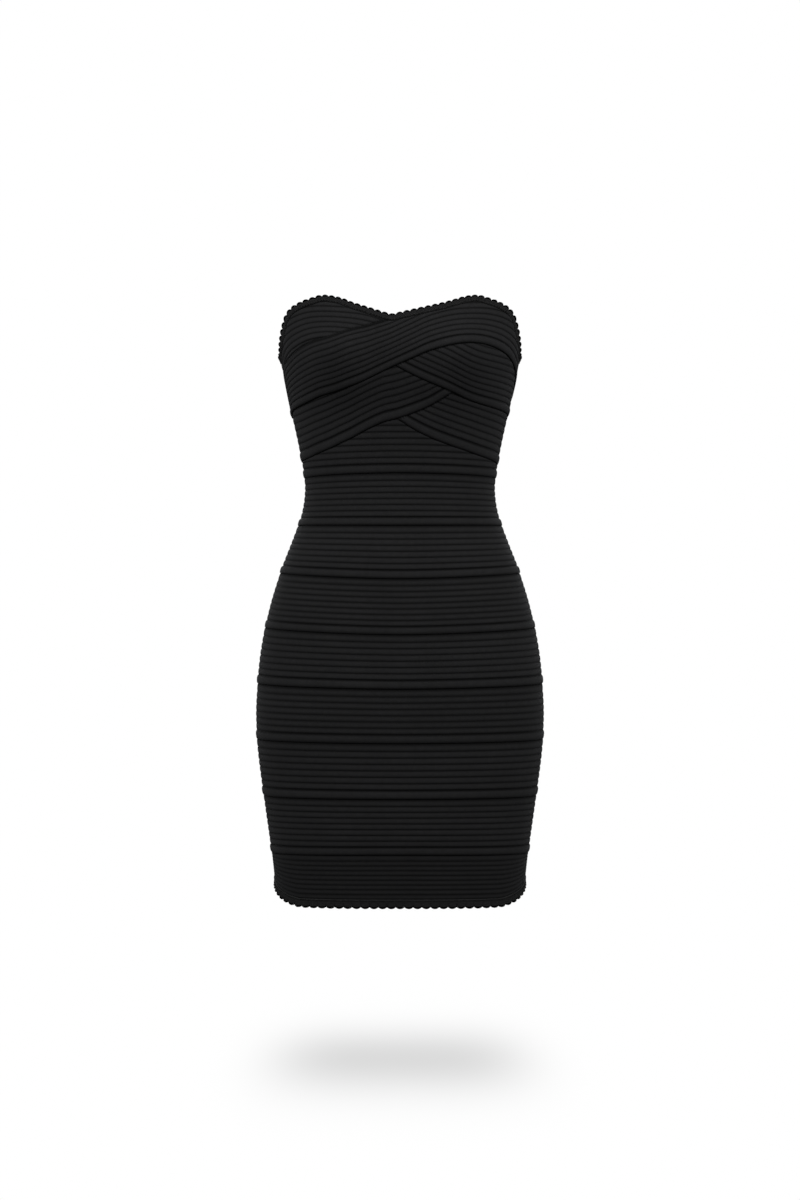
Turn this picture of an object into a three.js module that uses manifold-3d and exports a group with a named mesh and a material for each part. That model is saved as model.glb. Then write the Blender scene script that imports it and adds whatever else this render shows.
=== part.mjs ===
// Strapless bandage-knit bodycon dress, worn form, in millimetres.
// +Z is up, the front faces -Y, and the origin is at the centre of the body at underarm height.
// Every piece of cloth is a wall laid on one body form, which is known by sections.
// A place on the form is a turn round the body and a height. Turn 0 is the centre front,
// 90 the wearer's left side (+X), -90 the right side and 180 the centre back.
import * as THREE from 'three';
import { mergeVertices } from 'three/addons/utils/BufferGeometryUtils.js';
import Module from 'manifold-3d';

const wasm = await Module();
wasm.setup();

// Cloth and seams
const WALL = 1.5; // knit wall at a groove
const RIB = 0.8; // rise of a rib over the groove
const SOFT_RIB = 0.5; // rise of a rib on the softer bands
const LAP = 1.3; // rise of the lapped lower edge of a band
const SEAM_GAP = 0.3; // gap kept between two pieces
const RIB_PITCH = 7.3;
const FIRST_RIB = 9.4;
const EDGE_RIB = 10;
const INNER_SPANS = 3; // rows of faces on the plain inside of a band
const FRONT_COLUMNS = 12;
const BUST_COLUMNS = 16;
const BACK_SHARES = [0, 0.08, 0.31, 0.54, 0.77, 1]; // the first column backs the zip tape
const BACK_HEM_SHARES = [0, 0.08, 0.31, 0.54, 0.7, 0.85, 1]; // finer at the rounded corner

// Scalloped trims
const TRIM_WIDTH = 8;
const TRIM_WALL = 1.9;
const NECK_SCALLOP = 8.5; // length of one scallop
const HEM_SCALLOP = 10;
const SCALLOP_DEPTH = 1.6;

// Hem
const HEM_HEIGHT = -643;
const HEM_CORNER_RISE = 21; // rise of the hem's rounded corner at the side
const HEM_CORNER_START = 44; // turn at which the corner starts
const HEM_CORNER_BEND = 1.4; // how softly it starts

// Centre back zip
const ZIP_HALF_GAP = 0.8;
const ZIP_END = -330;
const SEAM_CLOSES = 12; // length over which the seam closes under the zip
const TAPE_WIDTH = 12;
const TAPE = { outer: -0.6, inner: -1.6 };
const COIL = { halfWidth: 2.2, outer: -2, inner: -3.8 };
const ZIP_ROWS = 24;
const SLIDER_TOP = -3;
const SLIDER = { halfWidth: 4.5, height: 12, depth: 3, clearance: 0.4 };
const BRIDGE_THICKNESS = 1;
const EYE_RADIUS = 1.25;
const EYE_RIM = 2.3;
const EYE_STAND = 5; // eye centre's stand outside the inner face of the wall
const PULL = { width: 6, length: 24, thickness: 1.2, bar: 1.4, window: 2.4, windowEnd: 3.1 };

// Sections of the body, at the inner face of the cloth. Squareness 2 is an ellipse.
const SECTION_COLUMNS = ['height', 'halfWidth', 'front', 'back', 'frontSquare', 'backSquare'];
const SECTIONS = table(SECTION_COLUMNS, [
  [-640, 143.0, 92, 97, 3.2, 3.0],
  [-590, 148.4, 94, 100, 3.1, 2.9],
  [-530, 156.8, 97, 105, 3.0, 2.75],
  [-470, 164.8, 100, 113, 2.9, 2.65],
  [-430, 167.4, 101, 118, 2.85, 2.6],
  [-400, 166.6, 101, 121, 2.8, 2.55],
  [-350, 161.8, 100, 122, 2.7, 2.5],
  [-300, 151.8, 97, 115, 2.6, 2.45],
  [-255, 138.0, 92, 102, 2.5, 2.4],
  [-220, 124.5, 87, 88, 2.45, 2.35],
  [-190, 114.0, 83, 77, 2.4, 2.3],
  [-163, 110.0, 81, 73, 2.4, 2.3],
  [-140, 111.6, 81, 74, 2.35, 2.3],
  [-105, 118.0, 84, 80, 2.3, 2.35],
  [-70, 125.8, 90, 87, 2.25, 2.4],
  [-35, 133.2, 100, 92, 2.2, 2.4],
  [0, 140.8, 104, 95, 2.2, 2.4],
  [35, 150.0, 98, 94, 2.05, 2.25],
  [70, 156.0, 84, 90, 2.0, 2.2],
]);

// The shaped cups of the bust
const CUP = { across: 78, height: -6, rise: 13, spread: 40, upper: 34, lower: 46 };

// Top edge of the dress, by turn. The dip at the centre front leans to the wearer's right.
const DIP_TURN = -4;
const DIP_REACH = 24;
const NECKLINE = curve([
  [0, 38], [4, 40.3], [12, 46.2], [20, 52.3], [24, 56.2], [28, 59.5], [33, 61.9], [37, 61.7],
  [42, 59], [47, 56.2], [51, 53.2], [55, 49.6], [59, 43.6], [62, 37], [65, 29], [69, 19], [74, 9],
  [79, 0.5], [84, -2], [100, -3], [180, -4],
]);

// Lower edges of the four bust bands that cross, by turn. A band that rises to the wearer's
// left is called left-rising.
const CUP_BAND_LEFT_EDGE = curve([
  [-90, -76], [-82, -73], [-73, -68], [-58, -62.5], [-50, -58.5], [-42, -53.5], [-33, -49],
  [-26, -44], [-19, -38.5], [-10, -29], [-3, -21.5], [5, -13.5], [14, -4.5], [27, 3],
  [37, 4.5], [47, 1.5], [56, -4], [64, -11], [74, -22.5], [82, -38], [90, -54],
]);
const CUP_BAND_RIGHT_EDGE = curve([
  [-90, -56], [-82, -41], [-74, -26], [-64, -14], [-47, -1.5], [-37, 1.5], [-27, -0.5],
  [-14, -8], [-5, -17.5], [4, -28.5], [11, -36], [24, -47.5], [37, -59], [52, -65.5],
  [75, -71], [90, -74],
]);
const RIB_BAND_LEFT_EDGE = curve([
  [-90, -128], [-82, -127], [-62, -124], [-50, -119], [-40, -113.5], [-33, -108], [-27, -103],
  [-19, -94.5], [-9, -85], [-1, -80.5], [9, -72.5], [15, -66.5], [22, -57], [30, -46],
  [45, -30],
]);
const RIB_BAND_RIGHT_EDGE = curve([
  [-22, -60], [-9, -76], [0, -83], [5, -90], [13, -99], [21, -106], [33, -114], [50, -122.5],
  [72, -128.5], [90, -131],
]);
// Width of the top bust band, by turn, measured up the form from its lower edge
const TOP_BAND_WIDTH = curve([
  [-90, 44], [-80, 49], [-64, 55.7], [-56, 60], [-48, 62.2], [-29, 62.8], [-21, 61.6],
  [-15, 58.1], [-10, 56.2], [-4, 54.6], [4, 57], [14, 61], [27, 66], [90, 66],
]);

// Seams between the horizontal bands: height at the centre front, the sides and the back
const SEAMS = table(['front', 'side', 'back'], [
  [-143.5, -146.7, -146],
  [-204.5, -203.6, -204],
  [-266, -259, -262],
  [-330.2, -322.5, -326],
  [-392.6, -387.7, -391],
  [-455, -452.3, -455],
  [-519.2, -518, -519],
  [-583.5, -585.1, -584],
]);
const SEAM_BEND = 1.8; // how late a seam bends towards its side height
const BACK_BUST_SEAM = -68;

// The eight horizontal bands, from the waist down
const BANDS = table(['ribs', 'rise'], [
  [8, RIB],
  [8, RIB],
  [9, SOFT_RIB],
  [8, RIB],
  [8, SOFT_RIB],
  [8, RIB],
  [9, RIB],
  [9, SOFT_RIB],
]);
const BUST_RIBS = 8;
const UNDERBUST_RIBS = 8;
const UNDERBUST_TOP = -79.7;

const COLOURS = { knit: 0x1a1a1b, trim: 0x161617, tape: 0x141415, metal: 0x2b2b2d };

function table(columns, rows) {
  return rows.map((row) => Object.fromEntries(columns.map((name, k) => [name, row[k]])));
}

// A smooth curve through a few points, held level past its ends
function curve(points) {
  const slope = points.map((point, k) => {
    const before = points[Math.max(k - 1, 0)];
    const after = points[Math.min(k + 1, points.length - 1)];
    return (after[1] - before[1]) / (after[0] - before[0]);
  });
  return (at) => {
    const last = points.length - 1;
    if (at <= points[0][0]) return points[0][1];
    if (at >= points[last][0]) return points[last][1];
    const k = points.findIndex((point, index) => index > 0 && at <= point[0]) - 1;
    const span = points[k + 1][0] - points[k][0];
    const u = (at - points[k][0]) / span;
    const v = 1 - u;
    return (1 + 2 * u) * v * v * points[k][1] + u * v * v * span * slope[k]
      + u * u * (3 - 2 * u) * points[k + 1][1] - u * u * v * span * slope[k + 1];
  };
}

function clamp(value, low, high) {
  return Math.min(Math.max(value, low), high);
}

function smoothStep(value) {
  const u = clamp(value, 0, 1);
  return u * u * (3 - 2 * u);
}

function mix(a, b, share) {
  return a + (b - a) * share;
}

const section = Object.fromEntries(SECTION_COLUMNS.slice(1).map((name) => [
  name,
  curve(SECTIONS.map((row) => [row.height, row[name]])),
]));

function radians(turn) {
  return THREE.MathUtils.degToRad(turn);
}

function cupRise(x, height) {
  const spread = height > CUP.height ? CUP.upper : CUP.lower;
  const up = ((height - CUP.height) / spread) ** 2;
  const bump = (centre) => Math.exp(-(((x - centre) / CUP.spread) ** 2) - up);
  return CUP.rise * (bump(CUP.across) + bump(-CUP.across));
}

// A point of the body form
function formPoint(turn, height) {
  const s = Math.sin(radians(turn));
  const c = Math.cos(radians(turn));
  const atFront = c >= 0;
  const square = atFront ? section.frontSquare(height) : section.backSquare(height);
  const depth = atFront ? section.front(height) : section.back(height);
  const reach = (Math.abs(s) ** square + Math.abs(c) ** square) ** (-1 / square);
  const x = section.halfWidth(height) * reach * s;
  const cup = atFront ? cupRise(x, height) * Math.min(1, c * 2.2) : 0;
  return new THREE.Vector3(x, -depth * reach * c - cup, height);
}

// A point that stands off the form along its normal
function clothPoint(turn, height, offset) {
  const step = 0.25;
  const across = formPoint(turn + step, height).sub(formPoint(turn - step, height));
  const up = formPoint(turn, height + step).sub(formPoint(turn, height - step));
  const normal = across.cross(up).normalize();
  return formPoint(turn, height).addScaledVector(normal, offset);
}

// Millimetres of girth for one degree of turn
function girthPerTurn(turn, height) {
  return formPoint(turn + 0.5, height).distanceTo(formPoint(turn - 0.5, height));
}

// The side seam stands at the side, and drifts to the front under the arm
function sideTurn(height) {
  return 90 - 12 * smoothStep((height + 60) / 90);
}

function frontTurn(share, height) {
  return share * (sideTurn(height) - SEAM_GAP / girthPerTurn(90, height));
}

// Distance of a back half from the centre: open at the zip, and a closed seam under it
function centreGap(height) {
  return mix(SEAM_GAP / 2, ZIP_HALF_GAP, smoothStep((height - ZIP_END) / SEAM_CLOSES + 1));
}

// A back half runs from the centre back, share 0, to the side seam, share 1
function backTurn(side, share, height) {
  const centre = centreGap(height) / girthPerTurn(180, height);
  const seam = 180 - sideTurn(height) - SEAM_GAP / girthPerTurn(90, height);
  return side * (180 - mix(centre, seam, share));
}

function necklineHeight(turn) {
  const lean = DIP_TURN * Math.max(0, 1 - Math.abs(turn) / DIP_REACH);
  return NECKLINE(Math.abs(turn - lean));
}

// How much longer a slanted edge is than its run, for widths measured square to it
function slant(line, turn) {
  const rise = line(turn + 0.5) - line(turn - 0.5);
  return Math.hypot(1, rise / girthPerTurn(turn, line(turn)));
}

function trimLine(turn) {
  return necklineHeight(turn) - TRIM_WIDTH * slant(necklineHeight, turn);
}

function seamHeight(seam, turn) {
  const end = Math.abs(turn) <= 90 ? seam.front : seam.back;
  return mix(end, seam.side, Math.abs(Math.sin(radians(turn))) ** SEAM_BEND);
}

function hemHeight(turn) {
  const fromSide = Math.abs(90 - Math.abs(turn));
  const corner = clamp(1 - fromSide / (90 - HEM_CORNER_START), 0, 1);
  return HEM_HEIGHT + HEM_CORNER_RISE * Math.sin(corner * Math.PI / 2) ** HEM_CORNER_BEND;
}

// Rows of a ribbed band from its top to its lapped lower edge
function ribRows(ribs, rise) {
  const heights = Array.from({ length: ribs }, (_, k) => {
    if (k === 0) return FIRST_RIB;
    return k === ribs - 1 ? EDGE_RIB : RIB_PITCH;
  });
  const total = heights.reduce((sum, height) => sum + height, 0);
  const rows = [];
  let start = 0;
  heights.forEach((height, k) => {
    rows.push({ at: start / total, offset: WALL });
    rows.push({ at: (start + height / 2) / total, offset: WALL + (k === ribs - 1 ? LAP : rise) });
    start += height;
  });
  rows.push({ at: 1, offset: WALL + LAP });
  return rows;
}

function solidOf(points, faces) {
  const geometry = new THREE.BufferGeometry();
  const values = points.flatMap((point) => [point.x, point.y, point.z]);
  geometry.setAttribute('position', new THREE.Float32BufferAttribute(values, 3));
  geometry.setIndex(faces);
  return geometry;
}

// A closed wall over a grid. rows are {at, offset} from the top down, at(share, down) gives the
// turn and height of a grid place, shares run with the turn and inner is the plain inside.
function wall({ rows, shares, at, inner = 0, spans = INNER_SPANS }) {
  const insideRows = Array.from({ length: spans + 1 }, (_, k) => ({ at: k / spans, offset: inner }));
  const points = [];
  const grid = (list) => list.map((row) => shares.map((share) => {
    const place = at(share, row.at);
    return points.push(clothPoint(place.turn, place.height, row.offset)) - 1;
  }));
  const outer = grid(rows);
  const inside = grid(insideRows);
  const faces = [];
  const skin = (mesh, outward) => {
    for (let i = 0; i + 1 < mesh.length; i += 1) {
      for (let j = 0; j + 1 < shares.length; j += 1) {
        const [a, b, c, d] = [mesh[i][j], mesh[i + 1][j], mesh[i + 1][j + 1], mesh[i][j + 1]];
        faces.push(...(outward ? [a, b, d, b, c, d] : [a, d, b, b, d, c]));
      }
    }
  };
  skin(outer, true);
  skin(inside, false);
  const topOut = outer[0];
  const topIn = inside[0];
  const lowOut = outer[outer.length - 1];
  const lowIn = inside[inside.length - 1];
  for (let j = 0; j + 1 < shares.length; j += 1) {
    faces.push(topOut[j], topOut[j + 1], topIn[j], topOut[j + 1], topIn[j + 1], topIn[j]);
    faces.push(lowOut[j + 1], lowOut[j], lowIn[j], lowOut[j + 1], lowIn[j], lowIn[j + 1]);
  }
  closeEnd(faces, rows, insideRows, outer, inside, 0);
  closeEnd(faces, rows, insideRows, outer, inside, shares.length - 1);
  return solidOf(points, faces);
}

// Faces across the end of a wall, between its many outer rows and its few inner rows
function closeEnd(faces, rows, insideRows, outer, inside, column) {
  let i = 0;
  let k = 0;
  while (i + 1 < rows.length || k + 1 < insideRows.length) {
    const outerNext = i + 1 < rows.length ? rows[i + 1].at : Infinity;
    const innerNext = k + 1 < insideRows.length ? insideRows[k + 1].at : Infinity;
    const a = outer[i][column];
    const n = inside[k][column];
    let face;
    if (outerNext <= innerNext) {
      face = [outer[i + 1][column], a, n];
      i += 1;
    } else {
      face = [a, n, inside[k + 1][column]];
      k += 1;
    }
    faces.push(...(column === 0 ? face : face.reverse()));
  }
}

function evenShares(from, to, columns) {
  return Array.from({ length: columns + 1 }, (_, k) => mix(from, to, k / columns));
}

// Finds the place of a share on the panel between two edges, where the turn follows the height
function placer(turnOf, upper, lower) {
  return (share, down) => {
    let turn = turnOf(share, 0);
    let height = 0;
    for (let round = 0; round < 4; round += 1) {
      height = mix(upper(turn), lower(turn), down);
      turn = turnOf(share, height);
    }
    return { turn, height };
  };
}

// Height reached by going a way up the form
function climb(turn, from, way) {
  const step = 2;
  let height = from;
  let left = way;
  for (;;) {
    const length = formPoint(turn, height + step).distanceTo(formPoint(turn, height));
    if (length >= left) return height + step * left / length;
    left -= length;
    height += step;
  }
}

// Finds the place of a share on a band whose rows keep their way up the form from its lower edge
function widthPlacer(turnOf, width, lower) {
  return (share, down) => {
    let turn = turnOf(share, 0);
    let height = 0;
    for (let round = 0; round < 4; round += 1) {
      height = climb(turn, lower(turn), width(turn) * (1 - down));
      turn = turnOf(share, height);
    }
    return { turn, height };
  };
}

function inset(line, gap) {
  return (turn) => line(turn) + gap * slant(line, turn);
}

// One ribbed piece between two edges, or of a width above its lower edge
function ribbedPiece({ turnOf, upper, width, lower, ribs, rise = RIB, lift = 0, shares }) {
  const half = SEAM_GAP / 2;
  const rows = ribRows(ribs, rise).map((row) => ({ at: row.at, offset: row.offset + lift }));
  const low = inset(lower, half);
  const at = width ? widthPlacer(turnOf, width, low) : placer(turnOf, inset(upper, -half), low);
  return wall({ rows, shares, at });
}

function toManifold(geometry) {
  const bare = geometry.clone();
  bare.deleteAttribute('normal');
  bare.deleteAttribute('uv');
  const merged = mergeVertices(bare, 1e-4);
  return new wasm.Manifold(new wasm.Mesh({
    numProp: 3,
    vertProperties: new Float32Array(merged.attributes.position.array),
    triVerts: new Uint32Array(merged.index.array),
  }));
}

function fromManifold(solid) {
  const mesh = solid.getMesh();
  const geometry = new THREE.BufferGeometry();
  geometry.setAttribute('position', new THREE.Float32BufferAttribute(mesh.vertProperties, 3));
  geometry.setIndex(new THREE.Uint32BufferAttribute(mesh.triVerts, 1));
  return geometry;
}

const dress = new THREE.Group();
const materials = Object.fromEntries(Object.entries(COLOURS).map(([name, color]) => {
  const metal = name === 'metal';
  return [name, new THREE.MeshStandardMaterial({
    name, color, roughness: metal ? 0.35 : 0.9, metalness: metal ? 0.9 : 0,
  })];
}));

function addPiece(name, geometry, material) {
  const mesh = new THREE.Mesh(geometry, material);
  mesh.name = name;
  dress.add(mesh);
  return mesh;
}

const fullFront = evenShares(-1, 1, BUST_COLUMNS);

// The crossing bust bands, from the top layer down, before what lies over them cuts them
const CUTTER = { inner: -3, outer: 5, rows: 10, overrun: 0.08, reach: 0.4 };
const BUST_BANDS = {
  top: { width: TOP_BAND_WIDTH, lower: CUP_BAND_LEFT_EDGE, ribs: 9, lift: 0.7, shares: fullFront },
  second: { width: () => 72, lower: CUP_BAND_RIGHT_EDGE, ribs: 10, lift: 0.45, shares: fullFront },
  third: {
    width: () => 67,
    lower: RIB_BAND_LEFT_EDGE,
    ribs: 8,
    lift: 0.25,
    shares: evenShares(-1, 0.4, 12),
  },
  fourth: {
    width: () => 67,
    lower: RIB_BAND_RIGHT_EDGE,
    ribs: 8,
    lift: 0.1,
    shares: evenShares(-0.15, 1, 10),
  },
};

// The room that a band takes from the bands under it, wider by a seam gap
function bandRoom(band) {
  const reach = CUTTER.reach;
  const first = band.shares[0] - CUTTER.overrun;
  const last = band.shares[band.shares.length - 1] + CUTTER.overrun;
  const upper = (turn) => climb(turn, band.lower(turn), band.width(turn));
  return toManifold(wall({
    rows: evenShares(0, 1, CUTTER.rows).map((at) => ({ at, offset: CUTTER.outer })),
    shares: [first, ...band.shares, last],
    at: placer(frontTurn, inset(upper, reach), inset(band.lower, -reach)),
    inner: CUTTER.inner,
    spans: CUTTER.rows,
  }));
}

// Room for the neck trim, wider by a seam gap, open upwards past the top edge
function trimRoom() {
  const high = 40;
  const low = inset(trimLine, -SEAM_GAP);
  return toManifold(wall({
    rows: evenShares(0, 1, CUTTER.rows).map((at) => ({ at, offset: CUTTER.outer })),
    shares: evenShares(-100, 100, 100),
    at: (turn, down) => ({ turn, height: mix(necklineHeight(turn) + high, low(turn), down) }),
    inner: CUTTER.inner,
    spans: CUTTER.rows,
  }));
}

function cut(solid, rooms) {
  return rooms.reduce((rest, room) => rest.subtract(room), solid);
}

// The parts of a cut band that are large enough to be cloth, from its left to its right
function clothParts(solid) {
  const smallest = 60;
  return solid.decompose()
    .filter((part) => part.volume() > smallest)
    .sort((a, b) => a.boundingBox().min[0] - b.boundingBox().min[0]);
}

function addBust() {
  const band = (key) => toManifold(ribbedPiece({ turnOf: frontTurn, ...BUST_BANDS[key] }));
  const trim = trimRoom();
  const room = Object.fromEntries(Object.keys(BUST_BANDS).map((key) => [key, bandRoom(BUST_BANDS[key])]));
  const underbustTop = (turn) => seamHeight(SEAMS[0], turn) - SEAMS[0].front + UNDERBUST_TOP;
  const underbust = toManifold(ribbedPiece({
    turnOf: frontTurn,
    upper: underbustTop,
    lower: (turn) => seamHeight(SEAMS[0], turn),
    ribs: UNDERBUST_RIBS,
    shares: evenShares(-1, 1, FRONT_COLUMNS),
  }));
  const pieces = {
    bust_band_1: cut(band('top'), [trim]),
    bust_band_2: cut(band('second'), [trim, room.top]),
    bust_band_3: cut(band('third'), [room.top, room.second]),
    bust_band_4: cut(band('fourth'), [room.top, room.second, room.third]),
    underbust_band: cut(underbust, Object.values(room)),
  };
  for (const [name, solid] of Object.entries(pieces)) {
    const parts = clothParts(solid);
    parts.forEach((part, k) => {
      const ends = ['_upper_left', '_lower_right'];
      addPiece(parts.length > 1 ? name + ends[k] : name, fromManifold(part), materials.knit);
    });
  }
}

function addBands() {
  const hemTrimLine = (turn) => hemHeight(turn) + TRIM_WIDTH;
  BANDS.forEach((band, k) => {
    const upper = (turn) => seamHeight(SEAMS[k], turn);
    const lower = k + 1 < SEAMS.length ? (turn) => seamHeight(SEAMS[k + 1], turn) : hemTrimLine;
    addPiece(`front_band_${k + 1}`, ribbedPiece({
      ...band, upper, lower, turnOf: frontTurn, shares: evenShares(-1, 1, FRONT_COLUMNS),
    }), materials.knit);
    const shares = k + 1 < SEAMS.length ? BACK_SHARES : BACK_HEM_SHARES;
    addBackHalves(`back_band_${k + 1}`, { ...band, upper, lower }, shares);
  });
  addBackHalves('back_bust_1', { ribs: BUST_RIBS, upper: trimLine, lower: () => BACK_BUST_SEAM });
  addBackHalves('back_bust_2', {
    ribs: BUST_RIBS + 1,
    upper: () => BACK_BUST_SEAM,
    lower: (turn) => seamHeight(SEAMS[0], turn),
  });
}

function addBackHalves(name, band, shares = BACK_SHARES) {
  for (const [word, side] of [['left', 1], ['right', -1]]) {
    addPiece(`${name}_${word}`, ribbedPiece({
      ...band,
      turnOf: (share, height) => backTurn(side, share, height),
      shares: side > 0 ? shares.toReversed() : shares,
    }), materials.knit);
  }
}

// Shares along an edge at even steps of its length, two for each scallop
function scallopShares(turnOf, line, from, to, pitch) {
  const fine = evenShares(from, to, 400);
  const places = fine.map((share) => {
    const place = placer(turnOf, line, line)(share, 0);
    return formPoint(place.turn, place.height);
  });
  const run = [0];
  places.slice(1).forEach((point, k) => run.push(run[k] + point.distanceTo(places[k])));
  const total = run[run.length - 1];
  const steps = 2 * Math.round(total / pitch);
  return Array.from({ length: steps + 1 }, (_, n) => {
    const goal = Math.min(total * n / steps, total);
    const k = clamp(run.findIndex((value) => value >= goal), 1, run.length - 1);
    return mix(fine[k - 1], fine[k], (goal - run[k - 1]) / (run[k] - run[k - 1]));
  });
}

// A strip with a scalloped free edge. The seam edge keeps the chords of the panel beside it, so
// it has a point at each knot of them.
function scallopedTrim({ turnOf, edge, seam, shares, knots, above }) {
  const wave = new Map(shares.map((share, k) => [share, k % 2 === 0 ? 0 : SCALLOP_DEPTH]));
  const seamShare = new Map(shares.map((share) => [share, share]));
  for (const knot of knots) {
    const distance = (share) => Math.abs(share - knot);
    seamShare.set(shares.reduce((a, b) => (distance(b) < distance(a) ? b : a)), knot);
  }
  const free = (turn, share) => {
    const out = (wave.get(share) - SCALLOP_DEPTH / 2) * slant(edge, turn);
    return edge(turn) + (above ? out : -out);
  };
  const at = (share, down) => {
    const atEdge = above ? down < 0.5 : down > 0.5;
    const line = atEdge ? (turn) => free(turn, share) : seam;
    return placer(turnOf, line, line)(atEdge ? share : seamShare.get(share), 0);
  };
  return wall({
    rows: [{ at: 0, offset: TRIM_WALL }, { at: 1, offset: TRIM_WALL }],
    shares, at, spans: 1,
  });
}

// An edge as the straight chords of a panel that has a few columns
function chordLine(line, turnOf, shares) {
  const knots = shares.map((share) => {
    const place = placer(turnOf, line, line)(share, 0);
    return { ...place, point: formPoint(place.turn, place.height) };
  }).sort((a, b) => a.turn - b.turn);
  return (turn) => {
    const next = knots.findIndex((knot) => knot.turn >= turn);
    const k = next < 0 ? knots.length - 1 : Math.max(next, 1);
    const [low, high] = [knots[k - 1], knots[k]];
    const towards = formPoint(turn, low.height);
    const aside = (point) => point.x * towards.y - point.y * towards.x;
    const passed = aside(low.point) / (aside(low.point) - aside(high.point));
    return mix(low.height, high.height, clamp(passed, 0, 1));
  };
}

function addTrims() {
  const front = evenShares(-1, 1, FRONT_COLUMNS);
  const pieces = [
    { word: 'front', turnOf: frontTurn, from: -1, to: 1, neckShares: front, hemShares: front },
    ...[['left', 1], ['right', -1]].map(([word, side]) => ({
      word: `back_${word}`,
      turnOf: (share, height) => backTurn(side, share, height),
      from: side > 0 ? 1 : 0,
      to: side > 0 ? 0 : 1,
      neckShares: BACK_SHARES,
      hemShares: BACK_HEM_SHARES,
    })),
  ];
  const hemTop = (turn) => hemHeight(turn) + TRIM_WIDTH;
  for (const { word, turnOf, from, to, neckShares, hemShares } of pieces) {
    const neckSeam = word === 'front' ? trimLine : chordLine(trimLine, turnOf, neckShares);
    addPiece(`neck_trim_${word}`, scallopedTrim({
      turnOf,
      above: true,
      edge: necklineHeight,
      seam: inset(neckSeam, SEAM_GAP / 2),
      knots: neckShares,
      shares: scallopShares(turnOf, necklineHeight, from, to, NECK_SCALLOP),
    }), materials.trim);
    addPiece(`hem_trim_${word}`, scallopedTrim({
      turnOf,
      above: false,
      edge: hemHeight,
      seam: inset(chordLine(hemTop, turnOf, hemShares), -SEAM_GAP / 2),
      knots: hemShares,
      shares: scallopShares(turnOf, hemHeight, from, to, HEM_SCALLOP),
    }), materials.trim);
  }
}

// A straight strip inside the centre back, between two distances from the centre
function zipStrip(top, near, far, layer) {
  const turnAt = (distance, height) => 180 - distance / girthPerTurn(180, height);
  return wall({
    rows: evenShares(0, 1, ZIP_ROWS).map((at) => ({ at, offset: layer.outer })),
    shares: [far, near],
    at: (distance, down) => {
      const height = mix(top, ZIP_END, down);
      return { turn: turnAt(distance, height), height };
    },
    inner: layer.inner,
    spans: ZIP_ROWS,
  });
}

function addZip() {
  const tapeTop = -6;
  addPiece('zip_tape_left', zipStrip(tapeTop, ZIP_HALF_GAP, TAPE_WIDTH, TAPE), materials.tape);
  addPiece('zip_tape_right', zipStrip(tapeTop, -TAPE_WIDTH, -ZIP_HALF_GAP, TAPE), materials.tape);
  const coilTop = SLIDER_TOP - SLIDER.height - 2 * SEAM_GAP;
  addPiece('zip_coil', zipStrip(coilTop, -COIL.halfWidth, COIL.halfWidth, COIL), materials.tape);
  const eyeHeight = SLIDER_TOP - SLIDER.height / 2;
  const back = formPoint(180, eyeHeight).y;
  addPiece('zip_slider', sliderGeometry(back, eyeHeight), materials.metal);
  addPiece('zip_pull_tab', pullGeometry(back + EYE_STAND, eyeHeight), materials.metal);
}

// The slider lies inside the tapes, and a thin eye reaches out between them
function sliderGeometry(back, eyeHeight) {
  const face = back + TAPE.inner - SLIDER.clearance - 0.4;
  const body = new THREE.BoxGeometry(2 * SLIDER.halfWidth, SLIDER.depth, SLIDER.height);
  body.translate(0, face - SLIDER.depth / 2, eyeHeight);
  const eye = back + EYE_STAND;
  const outline = new THREE.Shape();
  outline.moveTo(face - SLIDER.depth / 2, eyeHeight - EYE_RIM);
  outline.lineTo(eye, eyeHeight - EYE_RIM);
  outline.absarc(eye, eyeHeight, EYE_RIM, -Math.PI / 2, Math.PI / 2, false);
  outline.lineTo(face - SLIDER.depth / 2, eyeHeight + EYE_RIM);
  outline.closePath();
  const hole = new THREE.Path();
  hole.absarc(eye, eyeHeight, EYE_RADIUS, 0, 2 * Math.PI, true);
  outline.holes.push(hole);
  const web = new THREE.ExtrudeGeometry(outline, {
    depth: BRIDGE_THICKNESS, bevelEnabled: false, curveSegments: 10,
  });
  // The outline was drawn with the depth of the body as its first axis and height as its second
  web.applyMatrix4(new THREE.Matrix4().makeBasis(
    new THREE.Vector3(0, 1, 0),
    new THREE.Vector3(0, 0, 1),
    new THREE.Vector3(1, 0, 0),
  ));
  web.translate(-BRIDGE_THICKNESS / 2, 0, 0);
  return fromManifold(toManifold(body).add(toManifold(web)));
}

// The pull tab is a plate with a window round the eye, and its top bar passes through the eye
function pullGeometry(y, eyeHeight) {
  const half = PULL.width / 2;
  const top = PULL.bar / 2;
  const end = top - PULL.length;
  const outline = new THREE.Shape();
  outline.moveTo(-half + 0.6, top);
  outline.lineTo(-half, end + half);
  outline.absarc(0, end + half, half, Math.PI, 2 * Math.PI, false);
  outline.lineTo(half - 0.6, top);
  outline.closePath();
  const window = new THREE.Path();
  window.moveTo(-PULL.window / 2, -top);
  window.lineTo(PULL.window / 2, -top);
  window.lineTo(PULL.window / 2, -PULL.windowEnd);
  window.lineTo(-PULL.window / 2, -PULL.windowEnd);
  window.closePath();
  outline.holes.push(window);
  const plate = new THREE.ExtrudeGeometry(outline, {
    depth: PULL.thickness, bevelEnabled: false, curveSegments: 8,
  });
  // The outline was drawn flat, and is stood up behind the dress
  plate.rotateX(Math.PI / 2);
  plate.translate(0, y + PULL.thickness / 2, eyeHeight);
  return plate;
}

addBust();
addBands();
addTrims();
addZip();

export default dress;
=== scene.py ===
"""A black strapless bandage-knit dress in worn form: the looks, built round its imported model.

Sizes are in millimetres and turned to metres as a mesh is made. The front faces -Y. A place on
the body is a turn (0 centre front, 90 the wearer's left, 180 centre back) and a height.
"""

import logging
import math
from collections.abc import Callable, Sequence
from dataclasses import dataclass, field
from enum import Enum

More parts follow.
